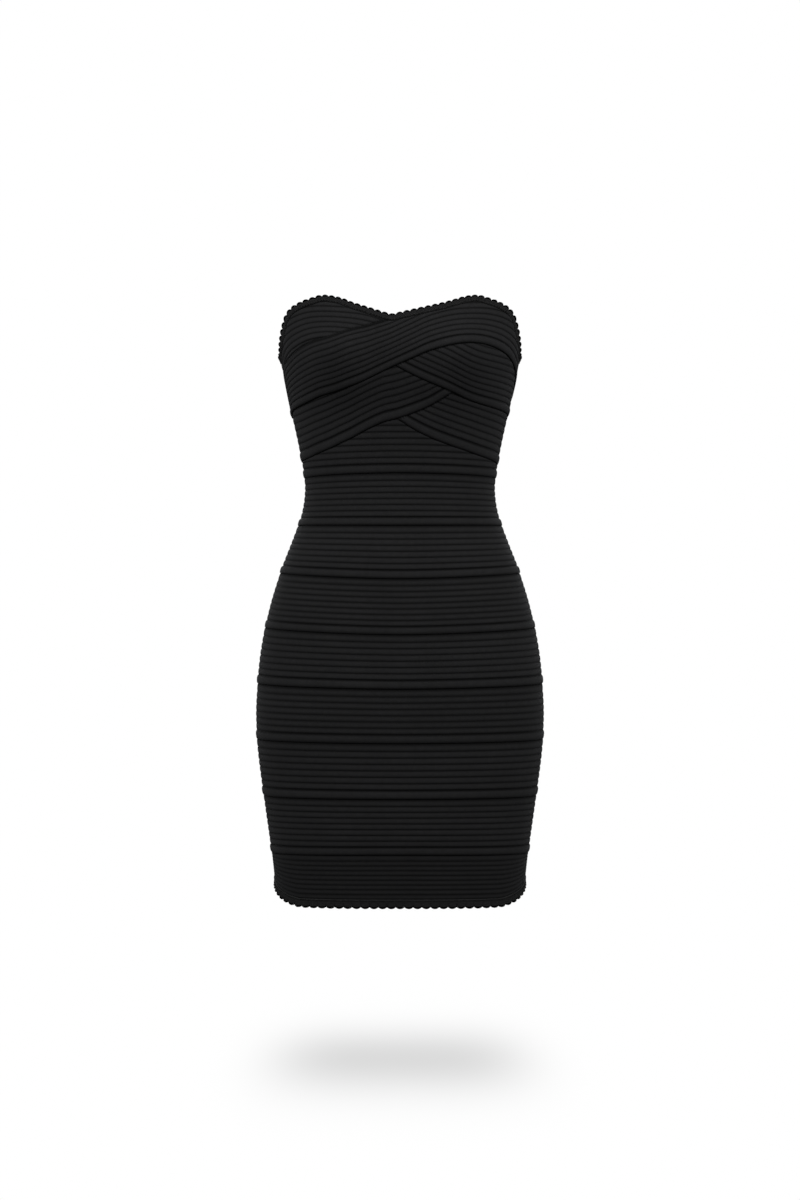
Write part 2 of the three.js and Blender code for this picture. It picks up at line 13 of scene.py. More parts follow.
import bpy
import numpy as np
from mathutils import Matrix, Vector


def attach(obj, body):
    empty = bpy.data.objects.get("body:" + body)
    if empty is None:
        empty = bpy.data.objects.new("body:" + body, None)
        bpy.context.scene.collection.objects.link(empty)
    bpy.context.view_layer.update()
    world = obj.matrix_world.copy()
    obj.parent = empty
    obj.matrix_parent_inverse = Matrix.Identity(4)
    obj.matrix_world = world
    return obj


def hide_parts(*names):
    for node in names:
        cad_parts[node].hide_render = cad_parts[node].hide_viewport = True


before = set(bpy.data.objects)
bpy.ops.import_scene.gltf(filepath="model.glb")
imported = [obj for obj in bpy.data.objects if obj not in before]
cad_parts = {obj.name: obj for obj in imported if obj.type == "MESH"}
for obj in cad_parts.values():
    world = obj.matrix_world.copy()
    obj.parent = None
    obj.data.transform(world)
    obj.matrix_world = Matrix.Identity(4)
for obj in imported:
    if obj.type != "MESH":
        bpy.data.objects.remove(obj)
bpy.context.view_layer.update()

Array = np.ndarray
Line = Callable[[Array], Array]

log = logging.getLogger("dress")

MM = 0.001
ROOT = "root"
PULL_BODY = "pull_tab"
LEAST_CUT = 0.01  # width that a strip is cut to at least, in metres
STITCH_SIDES = 6
STITCH_RINGS = 4
OUT_OF_REACH = 200.0  # a height over the whole dress, for an edge that covers nothing


class Side(Enum):
    """A side of the wearer's body, as the sign of X."""

    LEFT = 1
    RIGHT = -1

    @property
    def word(self) -> str:
        """The side's name in lower case."""
        return self.name.lower()


class Knit(Enum):
    """How sharp a band's ribs are: the rise over the groove, and the roundness of the crest."""

    CRISP = (0.85, 3.0)
    SOFT = (0.55, 2.2)

    @property
    def rise(self) -> float:
        """Rise of a rib over its groove."""
        return self.value[0]

    @property
    def roundness(self) -> float:
        """Exponent of the crest's profile."""
        return self.value[1]


class SmoothCurve:
    """A smooth curve through a few points, held level past its ends."""

    def __init__(self, points: Sequence[tuple[float, float]]) -> None:
        """Takes the points as (place, value), in rising order of place."""
        self.at = np.array([p[0] for p in points], float)
        self.value = np.array([p[1] for p in points], float)
        before = np.r_[0, np.arange(len(points) - 1)]
        after = np.r_[np.arange(1, len(points)), len(points) - 1]
        self.slope = (self.value[after] - self.value[before]) / (self.at[after] - self.at[before])

    def __call__(self, place: Array) -> Array:
        """Returns the curve's value at each place."""
        place = np.clip(place, self.at[0], self.at[-1])
        k = np.clip(np.searchsorted(self.at, place, "right") - 1, 0, len(self.at) - 2)
        span = self.at[k + 1] - self.at[k]
        u = (place - self.at[k]) / span
        v = 1 - u
        start = (1 + 2 * u) * v * v * self.value[k] + u * v * v * span * self.slope[k]
        end = u * u * (3 - 2 * u) * self.value[k + 1] - u * u * v * span * self.slope[k + 1]
        return start + end


def smooth_step(value: Array) -> Array:
    """Returns 0 below 0, 1 above 1 and a smooth rise between."""
    u = np.clip(value, 0.0, 1.0)
    return u * u * (3 - 2 * u)


def mix(a: Array, b: Array, share: Array) -> Array:
    """Returns the value that lies a share of the way from a to b."""
    return a + (b - a) * share


@dataclass(frozen=True)
class Cups:
    """The two shaped cups of the bust."""

    across: float = 78.0
    height: float = -6.0
    rise: float = 13.0
    spread: float = 40.0
    upper: float = 34.0
    lower: float = 46.0

    def rise_at(self, x: Array, height: Array) -> Array:
        """Returns how far the cups stand out at a place across and up."""
        spread = np.where(height > self.height, self.upper, self.lower)
        up = ((height - self.height) / spread) ** 2
        left = np.exp(-(((x - self.across) / self.spread) ** 2) - up)
        right = np.exp(-(((x + self.across) / self.spread) ** 2) - up)
        return self.rise * (left + right)


class BodyForm:
    """The body inside the dress, known by sections at the inner face of the cloth."""

    COLUMNS = ("height", "half_width", "front", "back", "front_square", "back_square")
    SECTIONS = (
        (-640, 143.0, 92, 97, 3.2, 3.0),
        (-590, 148.4, 94, 100, 3.1, 2.9),
        (-530, 156.8, 97, 105, 3.0, 2.75),
        (-470, 164.8, 100, 113, 2.9, 2.65),
        (-430, 167.4, 101, 118, 2.85, 2.6),
        (-400, 166.6, 101, 121, 2.8, 2.55),
        (-350, 161.8, 100, 122, 2.7, 2.5),
        (-300, 151.8, 97, 115, 2.6, 2.45),
        (-255, 138.0, 92, 102, 2.5, 2.4),
        (-220, 124.5, 87, 88, 2.45, 2.35),
        (-190, 114.0, 83, 77, 2.4, 2.3),
        (-163, 110.0, 81, 73, 2.4, 2.3),
        (-140, 111.6, 81, 74, 2.35, 2.3),
        (-105, 118.0, 84, 80, 2.3, 2.35),
        (-70, 125.8, 90, 87, 2.25, 2.4),
        (-35, 133.2, 100, 92, 2.2, 2.4),
        (0, 140.8, 104, 95, 2.2, 2.4),
        (35, 150.0, 98, 94, 2.05, 2.25),
        (70, 156.0, 84, 90, 2.0, 2.2),
    )
    SEAM_DRIFT = 12.0  # degrees that the side seam drifts to the front under the arm
    DRIFT_START = -60.0
    DRIFT_REACH = 90.0
    CUP_FADE = 2.2  # how fast the cups fade out towards the sides
    NORMAL_STEP = 0.25
    CLIMB_STEP = 2.0
    TINY = 1e-9
    ZIP_HALF_GAP = 0.8
    ZIP_END = -330.0
    SEAM_CLOSES = 12.0  # length over which the centre seam closes at the zip's end
    SEAM_GAP = -0.06  # sewn sides meet a little past each other, so no light shows between them

    def __init__(self, cups: Cups = Cups()) -> None:
        """Makes a curve of each column of the sections."""
        self.cups = cups
        self.curve = {
            name: SmoothCurve([(row[0], row[k]) for row in self.SECTIONS])
            for k, name in enumerate(self.COLUMNS)
        }

    def point(self, turn: Array, height: Array) -> Array:
        """Returns the points of the form at turns and heights, in millimetres."""
        turn, height = np.broadcast_arrays(np.asarray(turn, float), np.asarray(height, float))
        s, c = np.sin(np.radians(turn)), np.cos(np.radians(turn))
        ahead = c >= 0
        square = np.where(ahead, self.curve["front_square"](height), self.curve["back_square"](height))
        depth = np.where(ahead, self.curve["front"](height), self.curve["back"](height))
        reach = (np.abs(s) ** square + np.abs(c) ** square) ** (-1 / square)
        x = self.curve["half_width"](height) * reach * s
        cup = np.where(ahead, self.cups.rise_at(x, height) * np.clip(c * self.CUP_FADE, 0, 1), 0)
        return np.stack([x, -depth * reach * c - cup, height], axis=-1)

    def normal(self, turn: Array, height: Array) -> Array:
        """Returns the form's unit normals, pointing out of the body."""
        step = self.NORMAL_STEP
        across = self.point(turn + step, height) - self.point(turn - step, height)
        up = self.point(turn, height + step) - self.point(turn, height - step)
        out = np.cross(across, up)
        return out / np.linalg.norm(out, axis=-1, keepdims=True)

    def girth_per_turn(self, turn: Array, height: Array) -> Array:
        """Returns the millimetres of girth for one degree of turn."""
        return np.linalg.norm(self.point(turn + 0.5, height) - self.point(turn - 0.5, height), axis=-1)

    def climb(self, turn: Array, start: Array, way: Array) -> Array:
        """Returns the heights reached by going a way up the form from the start heights."""
        step = self.CLIMB_STEP
        height, left = np.array(start, float), np.array(way, float)
        below = self.point(turn, height)
        while np.any(left > 0):
            above = self.point(turn, height + step)
            length = np.linalg.norm(above - below, axis=-1)
            share = np.clip(left / np.maximum(length, self.TINY), 0, 1)
            height += step * share
            left -= length
            below = above
        return height

    def side_turn(self, height: Array) -> Array:
        """Returns the turn of the side seam."""
        return 90 - self.SEAM_DRIFT * smooth_step((height - self.DRIFT_START) / self.DRIFT_REACH)

    def front_turn(self, share: Array, height: Array) -> Array:
        """Returns the turn of a share of the front, from -1 at its right seam to 1 at its left."""
        return share * (self.side_turn(height) - self.SEAM_GAP / self.girth_per_turn(90, height))

    def back_turn(self, side: Side) -> Callable[[Array, Array], Array]:
        """Returns the rule for a back half's turn, from share 0 at the zip to 1 at the side."""

        def turn(share: Array, height: Array) -> Array:
            open_share = smooth_step((height - self.ZIP_END) / self.SEAM_CLOSES)
            gap = mix(self.SEAM_GAP, self.ZIP_HALF_GAP, open_share)
            centre = gap / self.girth_per_turn(180, height)
            seam = 180 - self.side_turn(height) - self.SEAM_GAP / self.girth_per_turn(90, height)
            return side.value * (180 - mix(centre, seam, share))

        return turn


@dataclass(frozen=True)
class Cloth:
    """Thicknesses and rib heights that the whole dress shares."""

    wall: float = 1.5
    lap: float = 0.95  # rise of the lapped lower edge of a band
    pitch: float = 7.3
    first_rib: float = 9.4  # part of it lies under the band above
    free_first_rib: float = 6.4
    edge_rib: float = 10.0
    seam_gap: float = 0.15
    allowance: float = 2.0  # how far cloth reaches under a seam
    trim_width: float = 8.0
    stretch: float = 1.12  # area as worn over area as cut

    def rib_heights(self, ribs: int, first: float) -> Array:
        """Returns the height of each rib of a band, from the top down."""
        return np.array([first] + [self.pitch] * (ribs - 2) + [self.edge_rib])


class Edges:
    """The lines that bound the pieces, as heights by turn."""

    DIP_TURN = -4.0
    DIP_REACH = 24.0
    HEM_HEIGHT = -643.0
    HEM_CORNER_RISE = 21.0
    HEM_CORNER_REACH = 46.0
    HEM_CORNER_BEND = 1.4
    SEAM_BEND = 1.8
    BACK_BUST_SEAM = -68.0
    UNDERBUST_TOP = -79.7
    # Seams between the horizontal bands: height at the centre front, the sides and the back
    SEAMS = (
        (-143.5, -146.7, -146),
        (-204.5, -203.6, -204),
        (-266, -259, -262),
        (-330.2, -322.5, -326),
        (-392.6, -387.7, -391),
        (-455, -452.3, -455),
        (-519.2, -518, -519),
        (-583.5, -585.1, -584),
    )

    def __init__(self, form: BodyForm, cloth: Cloth) -> None:
        """Makes the curves of the top edge and of the bust bands that cross."""
        self.form = form
        self.cloth = cloth
        self.top = SmoothCurve((
            (0, 38), (4, 40.3), (12, 46.2), (20, 52.3), (24, 56.2), (28, 59.5), (33, 61.9),
            (37, 61.7), (42, 59), (47, 56.2), (51, 53.2), (55, 49.6), (59, 43.6), (62, 37),
            (65, 29), (69, 19), (74, 9), (79, 0.5), (84, -2), (100, -3), (180, -4),
        ))
        self.cup_left = SmoothCurve((
            (-90, -76), (-82, -73), (-73, -68), (-58, -62.5), (-50, -58.5), (-42, -53.5),
            (-33, -49), (-26, -44), (-19, -38.5), (-10, -29), (-3, -21.5), (5, -13.5), (14, -4.5),
            (27, 3), (37, 4.5), (47, 1.5), (56, -4), (64, -11), (74, -22.5), (82, -38), (90, -54),
        ))
        self.cup_right = SmoothCurve((
            (-90, -56), (-82, -41), (-74, -26), (-64, -14), (-47, -1.5), (-37, 1.5), (-27, -0.5),
            (-14, -8), (-5, -17.5), (4, -28.5), (11, -36), (24, -47.5), (37, -59), (52, -65.5),
            (75, -71), (90, -74),
        ))
        self.rib_left = SmoothCurve((
            (-90, -128), (-82, -127), (-62, -124), (-50, -119), (-40, -113.5), (-33, -108),
            (-27, -103), (-19, -94.5), (-9, -85), (-1, -80.5), (9, -72.5), (15, -66.5), (22, -57),
            (30, -46), (45, -30),
        ))
        self.rib_right = SmoothCurve((
            (-22, -60), (-9, -76), (0, -83), (5, -90), (13, -99), (21, -106), (33, -114),
            (50, -122.5), (72, -128.5), (90, -131),
        ))
        self.top_width = SmoothCurve((
            (-90, 44), (-80, 49), (-64, 55.7), (-56, 60), (-48, 62.2), (-29, 62.8), (-21, 61.6),
            (-15, 58.1), (-10, 56.2), (-4, 54.6), (4, 57), (14, 61), (27, 66), (90, 66),
        ))

    def neckline(self, turn: Array) -> Array:
        """Returns the height of the top edge, whose dip leans to the wearer's right."""
        lean = self.DIP_TURN * np.maximum(0, 1 - np.abs(turn) / self.DIP_REACH)
        return self.top(np.abs(turn - lean))

    def slant(self, line: Line, turn: Array) -> Array:
        """Returns how much longer a slanted line is than its run."""
        rise = line(turn + 0.5) - line(turn - 0.5)
        return np.hypot(1, rise / self.form.girth_per_turn(turn, line(turn)))

    def moved(self, line: Line, gap: float) -> Line:
        """Returns the line moved up by a gap measured square to it."""
        return lambda turn: line(turn) + gap * self.slant(line, turn)

    def trim_line(self, turn: Array) -> Array:
        """Returns the height of the neck trim's seam."""
        return self.neckline(turn) - self.cloth.trim_width * self.slant(self.neckline, turn)

    def top_band_upper(self, turn: Array) -> Array:
        """Returns the upper edge of the top bust band, before the neck trim cuts it."""
        return self.form.climb(turn, self.cup_left(turn), self.top_width(turn))

    def seam(self, index: int) -> Line:
        """Returns the line of one seam between the horizontal bands."""
        front, side, back = self.SEAMS[index]

        def line(turn: Array) -> Array:
            end = np.where(np.abs(turn) <= 90, front, back)
            return mix(end, side, np.abs(np.sin(np.radians(turn))) ** self.SEAM_BEND)

        return line

    def hem(self, turn: Array) -> Array:
        """Returns the height of the hem, which rises at its rounded side corners."""
        from_side = np.abs(90 - np.abs(turn))
        corner = np.clip(1 - from_side / self.HEM_CORNER_REACH, 0, 1)
        return self.HEM_HEIGHT + self.HEM_CORNER_RISE * np.sin(corner * np.pi / 2) ** self.HEM_CORNER_BEND

    def hem_trim_line(self, turn: Array) -> Array:
        """Returns the height of the hem trim's seam."""
        return self.hem(turn) + self.cloth.trim_width

    def underbust_top(self, turn: Array) -> Array:
        """Returns the upper edge of the band under the bust, which runs with its seam."""
        return self.seam(0)(turn) - self.SEAMS[0][0] + self.UNDERBUST_TOP


class Nodes:
    """Short helpers to lay out a node tree."""

    def __init__(self, tree: bpy.types.NodeTree) -> None:
        """Takes the tree to build in."""
        self.tree = tree

    def add(self, kind: str, **settings: object) -> bpy.types.Node:
        """Adds a node and sets its properties.

        Args:
            kind: the node's type name.
            settings: properties of the node, by name.

        Returns:
            The new node.
        """
        node = self.tree.nodes.new(kind)
        for name, value in settings.items():
            setattr(node, name, value)
        return node

    def link(self, source: bpy.types.NodeSocket, target: bpy.types.NodeSocket) -> None:
        """Joins two sockets."""
        self.tree.links.new(source, target)

    def put(self, socket: bpy.types.NodeSocket, value: object) -> None:
        """Links a socket to the target, or sets the target's value."""
        if isinstance(value, bpy.types.NodeSocket):
            self.link(value, socket)
        elif value is not None:
            socket.default_value = value

    def maths(self, operation: str, *values: object) -> bpy.types.NodeSocket:
        """Adds a Math node and returns its output."""
        node = self.add("ShaderNodeMath", operation=operation)
        for socket, value in zip(node.inputs, values):
            self.put(socket, value)
        return node.outputs[0]

    def vector(self, operation: str, *values: object, scale: object = None) -> bpy.types.NodeSocket:
        """Adds a Vector Math node and returns its vector output."""
        node = self.add("ShaderNodeVectorMath", operation=operation)
        for socket, value in zip(node.inputs, values):
            self.put(socket, value)
        if scale is not None:
            self.put(node.inputs["Scale"], scale)
        return node.outputs[0]


class ShaderNodes(Nodes):
    """Helpers for a material's tree."""

    def __init__(self, name: str) -> None:
        """Makes a material with an empty tree that ends in a Principled shader."""
        self.material = bpy.data.materials.new(name)
        self.material.use_nodes = True
        super().__init__(self.material.node_tree)
        self.tree.nodes.clear()
        self.shader = self.add("ShaderNodeBsdfPrincipled")
        output = self.add("ShaderNodeOutputMaterial")
        self.link(self.shader.outputs[0], output.inputs["Surface"])

    def attribute(self, name: str) -> bpy.types.NodeSocket:
        """Returns a mesh attribute's number."""
        return self.add("ShaderNodeAttribute", attribute_name=name).outputs["Fac"]

    def uv(self, name: str) -> bpy.types.NodeSocket:
        """Returns a UV map's vector."""
        return self.add("ShaderNodeUVMap", uv_map=name).outputs["UV"]

    def noise(self, vector: object, scale: float, detail: float = 2.0) -> bpy.types.NodeSocket:
        """Returns a noise pattern's number."""
        node = self.add("ShaderNodeTexNoise")
        self.put(node.inputs["Vector"], vector)
        node.inputs["Scale"].default_value = scale
        node.inputs["Detail"].default_value = detail
        return node.outputs["Fac"]

    def ramp(self, value: object, low: float, high: float) -> bpy.types.NodeSocket:
        """Returns a number from 0 to 1 mapped to low to high."""
        node = self.add("ShaderNodeMapRange")
        self.put(node.inputs["Value"], value)
        node.inputs["To Min"].default_value = low
        node.inputs["To Max"].default_value = high
        return node.outputs["Result"]

    def colour(self, share: object, dark: tuple, light: tuple) -> bpy.types.NodeSocket:
        """Returns the colour that lies a share of the way from dark to light."""
        node = self.add("ShaderNodeMix", data_type="RGBA")
        self.put(node.inputs["Factor"], share)
        node.inputs["A"].default_value = (*dark, 1)
        node.inputs["B"].default_value = (*light, 1)
        return node.outputs["Result"]

    def bump(self, height: object, distance: float, strength: float) -> None:
        """Joins a bump to the shader's normal."""
        node = self.add("ShaderNodeBump")
        node.inputs["Strength"].default_value = strength
        node.inputs["Distance"].default_value = distance
        self.put(node.inputs["Height"], height)
        self.link(node.outputs["Normal"], self.shader.inputs["Normal"])


@dataclass(frozen=True)
class KnitFinish:
    """Dense black bandage knit: short stitches across each rib, and a soft sheen."""

    name: str = "bandage_knit"
    shadow: tuple[float, float, float] = (0.0003, 0.0003, 0.0003)  # under an edge
    crest: tuple[float, float, float] = (0.0136, 0.0136, 0.0141)
    falloff: float = 1.5  # how fast the painted shade deepens from crest to groove
    groove: float = 0.19  # tone of a groove, next to a crest's: painted shade in the groove
    wale: float = 1.3  # width of one stitch column
    course: float = 1.05  # height of one stitch
    course_share: float = 0.45  # of a stitch's height that its course gives
    stitch_lean: float = 1.1
    stitch_depth: float = 0.16
    stitch_tones: tuple[float, float] = (0.72, 1.1)
    broad_scale: float = 22.0
    broad_tones: tuple[float, float] = (0.7, 1.25)
    uneven_scale: float = 170.0
    uneven_tones: tuple[float, float] = (0.72, 1.28)
    fine_scale: float = 900.0
    fine_tone: float = 0.06
    fine_relief: float = 0.35
    roughness: tuple[float, float] = (0.76, 0.9)
    specular: float = 0.06
    sheen: float = 0.045
    sheen_roughness: float = 0.45
    sheen_tint: tuple[float, float, float] = (0.75, 0.77, 0.8)
    bump: float = 0.6

    def build(self) -> bpy.types.Material:
        """Returns the material, which reads the knit's UV map and the ribs' crest attribute."""
        nodes = ShaderNodes(self.name)
        split = nodes.add("ShaderNodeSeparateXYZ")
        nodes.link(nodes.uv("knit"), split.inputs[0])
        column = nodes.maths("MULTIPLY", split.outputs["X"], 2 * math.pi / (self.wale * MM))
        row = nodes.maths("MULTIPLY", split.outputs["Y"], 2 * math.pi / (self.course * MM))
        wale = nodes.ramp(nodes.maths("COSINE", column), -0.2, 1.0)
        lean = nodes.maths("MULTIPLY", nodes.maths("COSINE", column), self.stitch_lean)
        course = nodes.ramp(nodes.maths("SINE", nodes.maths("ADD", row, lean)), 0.0, 1.0)
        course = nodes.maths("MULTIPLY", course, self.course_share)
        stitch = nodes.maths("MULTIPLY", wale, nodes.maths("ADD", 1 - self.course_share, course))
        place = nodes.add("ShaderNodeTexCoord").outputs["Object"]
        broad = nodes.noise(place, self.broad_scale, 3.0)
        fine = nodes.noise(place, self.fine_scale)
        # painted shade: the colour darkens from each rib's crest into its groove
        crest = nodes.maths("POWER", nodes.attribute("crest"), self.falloff)
        uneven = nodes.noise(place, self.uneven_scale)
        tone = nodes.maths("MULTIPLY", crest, nodes.ramp(broad, *self.broad_tones))
        tone = nodes.maths("MULTIPLY", tone, nodes.ramp(uneven, *self.uneven_tones))
        tone = nodes.maths("MULTIPLY", tone, nodes.ramp(stitch, *self.stitch_tones))
        tone = nodes.maths("ADD", nodes.maths("MULTIPLY", tone, 1 - self.groove), self.groove)
        tone = nodes.maths("ADD", tone, nodes.ramp(fine, -self.fine_tone, self.fine_tone))
        # painted shade from the shade attribute: dark under covers, trims and lapped edges
        tone = nodes.maths("MULTIPLY", tone, nodes.attribute("shade"))
        nodes.link(nodes.colour(tone, self.shadow, self.crest), nodes.shader.inputs["Base Color"])
        uneven = nodes.maths("MULTIPLY", nodes.maths("ADD", broad, fine), 0.5)
        nodes.link(nodes.ramp(uneven, *self.roughness), nodes.shader.inputs["Roughness"])
        nodes.shader.inputs["Specular IOR Level"].default_value = self.specular
        nodes.shader.inputs["Sheen Weight"].default_value = self.sheen
        nodes.shader.inputs["Sheen Roughness"].default_value = self.sheen_roughness
        nodes.shader.inputs["Sheen Tint"].default_value = (*self.sheen_tint, 1)
        relief = nodes.maths("ADD", stitch, nodes.maths("MULTIPLY", fine, self.fine_relief))
        nodes.bump(relief, self.stitch_depth * MM, self.bump)
        return nodes.material


@dataclass(frozen=True)
class YarnFinish:
    """Plain black yarn of the scalloped edging and its stitches, or the zip's woven tape."""

    name: str
    dark: tuple[float, float, float] = (0.0028, 0.0028, 0.0029)
    light: tuple[float, float, float] = (0.0085, 0.0085, 0.0088)
    strand: float = 0.55  # width of one strand of the weave
    depth: float = 0.14
    weave_share: float = 0.6  # of the tone that the weave gives
    fine_scale: float = 1100.0
    fine_share: float = 0.5
    fine_relief: float = 0.4
    roughness: float = 0.8
    roughness_spread: float = 0.07
    specular: float = 0.16
    sheen: float = 0.03
    sheen_roughness: float = 0.5
    bump: float = 0.6

    def build(self) -> bpy.types.Material:
        """Returns the material, whose strands run across the piece's UV map."""
        nodes = ShaderNodes(self.name)
        split = nodes.add("ShaderNodeSeparateXYZ")
        nodes.link(nodes.uv("knit"), split.inputs[0])
        along = nodes.maths("MULTIPLY", split.outputs["X"], math.pi / (self.strand * MM))
        up = nodes.maths("MULTIPLY", split.outputs["Y"], math.pi / (self.strand * MM))
        weave = nodes.maths("MULTIPLY", nodes.maths("SINE", along), nodes.maths("SINE", up))
        weave = nodes.ramp(weave, 0.5, 1.0)
        place = nodes.add("ShaderNodeTexCoord").outputs["Object"]
        fine = nodes.noise(place, self.fine_scale)
        tone = nodes.maths("MULTIPLY", weave, self.weave_share)
        tone = nodes.maths("ADD", tone, nodes.ramp(fine, 0.0, self.fine_share))
        nodes.link(nodes.colour(tone, self.dark, self.light), nodes.shader.inputs["Base Color"])
        smooth, coarse = self.roughness - self.roughness_spread, self.roughness + self.roughness_spread
        nodes.link(nodes.ramp(fine, smooth, coarse), nodes.shader.inputs["Roughness"])
        nodes.shader.inputs["Specular IOR Level"].default_value = self.specular
        nodes.shader.inputs["Sheen Weight"].default_value = self.sheen
        nodes.shader.inputs["Sheen Roughness"].default_value = self.sheen_roughness
        relief = nodes.maths("ADD", weave, nodes.maths("MULTIPLY", fine, self.fine_relief))
        nodes.bump(relief, self.depth * MM, self.bump)
        return nodes.material


@dataclass(frozen=True)
class LacquerFinish:
    """Black lacquered zip metal, worn a little at random."""

    name: str = "black_lacquer"
    colour: tuple[float, float, float] = (0.012, 0.012, 0.013)
    worn: tuple[float, float, float] = (0.05, 0.05, 0.052)
    wear_scale: float = 260.0
    wear_sharpness: float = 5.0
    grain_scale: float = 2600.0
    grain_depth: float = 0.03
    grain_bump: float = 0.3
    roughness: tuple[float, float] = (0.24, 0.4)
    metallic: float = 0.85
    coat: float = 0.3

    def build(self) -> bpy.types.Material:
        """Returns the material."""
        nodes = ShaderNodes(self.name)
        place = nodes.add("ShaderNodeTexCoord").outputs["Object"]
        wear = nodes.maths("POWER", nodes.noise(place, self.wear_scale, 4.0), self.wear_sharpness)
        grain = nodes.noise(place, self.grain_scale)
        nodes.link(nodes.colour(wear, self.colour, self.worn), nodes.shader.inputs["Base Color"])
        nodes.link(nodes.ramp(grain, *self.roughness), nodes.shader.inputs["Roughness"])
        nodes.shader.inputs["Metallic"].default_value = self.metallic
        nodes.shader.inputs["Coat Weight"].default_value = self.coat
        nodes.bump(grain, self.grain_depth * MM, self.grain_bump)
        return nodes.material


class GeometryTree(Nodes):
    """A Geometry Nodes tree with named inputs that ends in Realize Instances and Set Material."""

    def __init__(self, name: str) -> None:
        """Makes the tree with its geometry and material sockets."""
        tree = bpy.data.node_groups.new(name, "GeometryNodeTree")
        super().__init__(tree)
        tree.interface.new_socket(name="Geometry", in_out="INPUT", socket_type="NodeSocketGeometry")
        tree.interface.new_socket(name="Geometry", in_out="OUTPUT", socket_type="NodeSocketGeometry")
        self.input("Material", "NodeSocketMaterial")
        self.group_in = None
        self.group_out = self.add("NodeGroupOutput")

    def input(self, name: str, kind: str = "NodeSocketFloat", default: object = None) -> None:
        """Adds a named input."""
        socket = self.tree.interface.new_socket(name=name, in_out="INPUT", socket_type=kind)
        if default is not None:
            socket.default_value = default

    def start(self) -> bpy.types.Node:
        """Adds the input node, once every input is named."""
        self.group_in = self.add("NodeGroupInput")
        return self.group_in

    def named(self, attribute: str, kind: str = "FLOAT") -> bpy.types.NodeSocket:
        """Returns a named attribute of the mesh."""
        node = self.add("GeometryNodeInputNamedAttribute", data_type=kind)
        node.inputs["Name"].default_value = attribute
        return node.outputs["Attribute"]

    def finish(self, geometry: bpy.types.NodeSocket) -> None:
        """Ends the tree with Realize Instances, Set Shade Smooth and Set Material."""
        realize = self.add("GeometryNodeRealizeInstances")
        smooth = self.add("GeometryNodeSetShadeSmooth")
        material = self.add("GeometryNodeSetMaterial")
        self.link(geometry, realize.inputs[0])
        self.link(realize.outputs[0], smooth.inputs[0])
        self.link(smooth.outputs[0], material.inputs["Geometry"])
        self.link(self.group_in.outputs["Material"], material.inputs["Material"])
        self.link(material.outputs[0], self.group_out.inputs[0])

    def apply(self, piece: bpy.types.Object, values: dict[str, object]) -> bpy.types.Object:
        """Runs the tree on a piece and keeps the result as its plain mesh.

        Args:
            piece: the object whose mesh the tree reads.
            values: the tree's inputs, by name.

        Returns:
            The same object, or a mesh object in its place if it was a curve.
        """
        modifier = piece.modifiers.new(self.tree.name, "NODES")
        modifier.node_group = self.tree
        for item in self.tree.interface.items_tree:
            if item.item_type == "SOCKET" and item.in_out == "INPUT" and item.name in values:
                modifier[item.identifier] = values[item.name]
        bpy.context.view_layer.update()
        graph = bpy.context.evaluated_depsgraph_get()
        result = bpy.data.meshes.new_from_object(piece.evaluated_get(graph))
        name = piece.name
        if piece.type == "MESH":
            old = piece.data
            piece.modifiers.remove(modifier)
            piece.data = result
            bpy.data.meshes.remove(old)
        else:
            bpy.data.objects.remove(piece)
            piece = bpy.data.objects.new(name, result)
            bpy.context.scene.collection.objects.link(piece)
        piece.data.name = name
        return piece


def rib_relief_tree() -> GeometryTree:
    """Builds the tree that raises rounded ribs on the outer skin of a knit wall.

    It reads the attributes rib (which rib, with its fraction), relief (0 on the inside), lap (0
    away from the lapped edge), shade (0 under a cover) and out (the wall's normal), and keeps the
    crest for the material.
    """
    tree = GeometryTree("rib_relief")
    tree.input("Rise", default=Knit.CRISP.rise * MM)
    tree.input("Roundness", default=Knit.CRISP.roundness)
    tree.input("Lap Rise", default=Cloth.lap * MM)
    start = tree.start()
    across = tree.maths("MULTIPLY", tree.maths("FRACT", tree.named("rib")), 2.0)
    from_middle = tree.maths("ABSOLUTE", tree.maths("SUBTRACT", across, 1.0))
    fall = tree.maths("POWER", from_middle, start.outputs["Roundness"])
    crest = tree.maths("SUBTRACT", 1.0, fall)
    rise = tree.maths("MULTIPLY", crest, start.outputs["Rise"])
    lap = tree.maths("MULTIPLY", tree.named("lap"), start.outputs["Lap Rise"])
    lift = tree.maths("ADD", tree.maths("MULTIPLY", rise, tree.named("relief")), lap)
    keep = tree.add("GeometryNodeStoreNamedAttribute", data_type="FLOAT", domain="POINT")
    keep.inputs["Name"].default_value = "crest"
    tree.link(start.outputs["Geometry"], keep.inputs["Geometry"])
    tree.put(keep.inputs["Value"], tree.maths("MULTIPLY", crest, tree.named("shade")))
    move = tree.add("GeometryNodeSetPosition")
    tree.link(keep.outputs[0], move.inputs["Geometry"])
    tree.put(move.inputs["Offset"], tree.vector("SCALE", tree.named("out", "FLOAT_VECTOR"), scale=lift))
    tree.finish(move.outputs[0])
    return tree


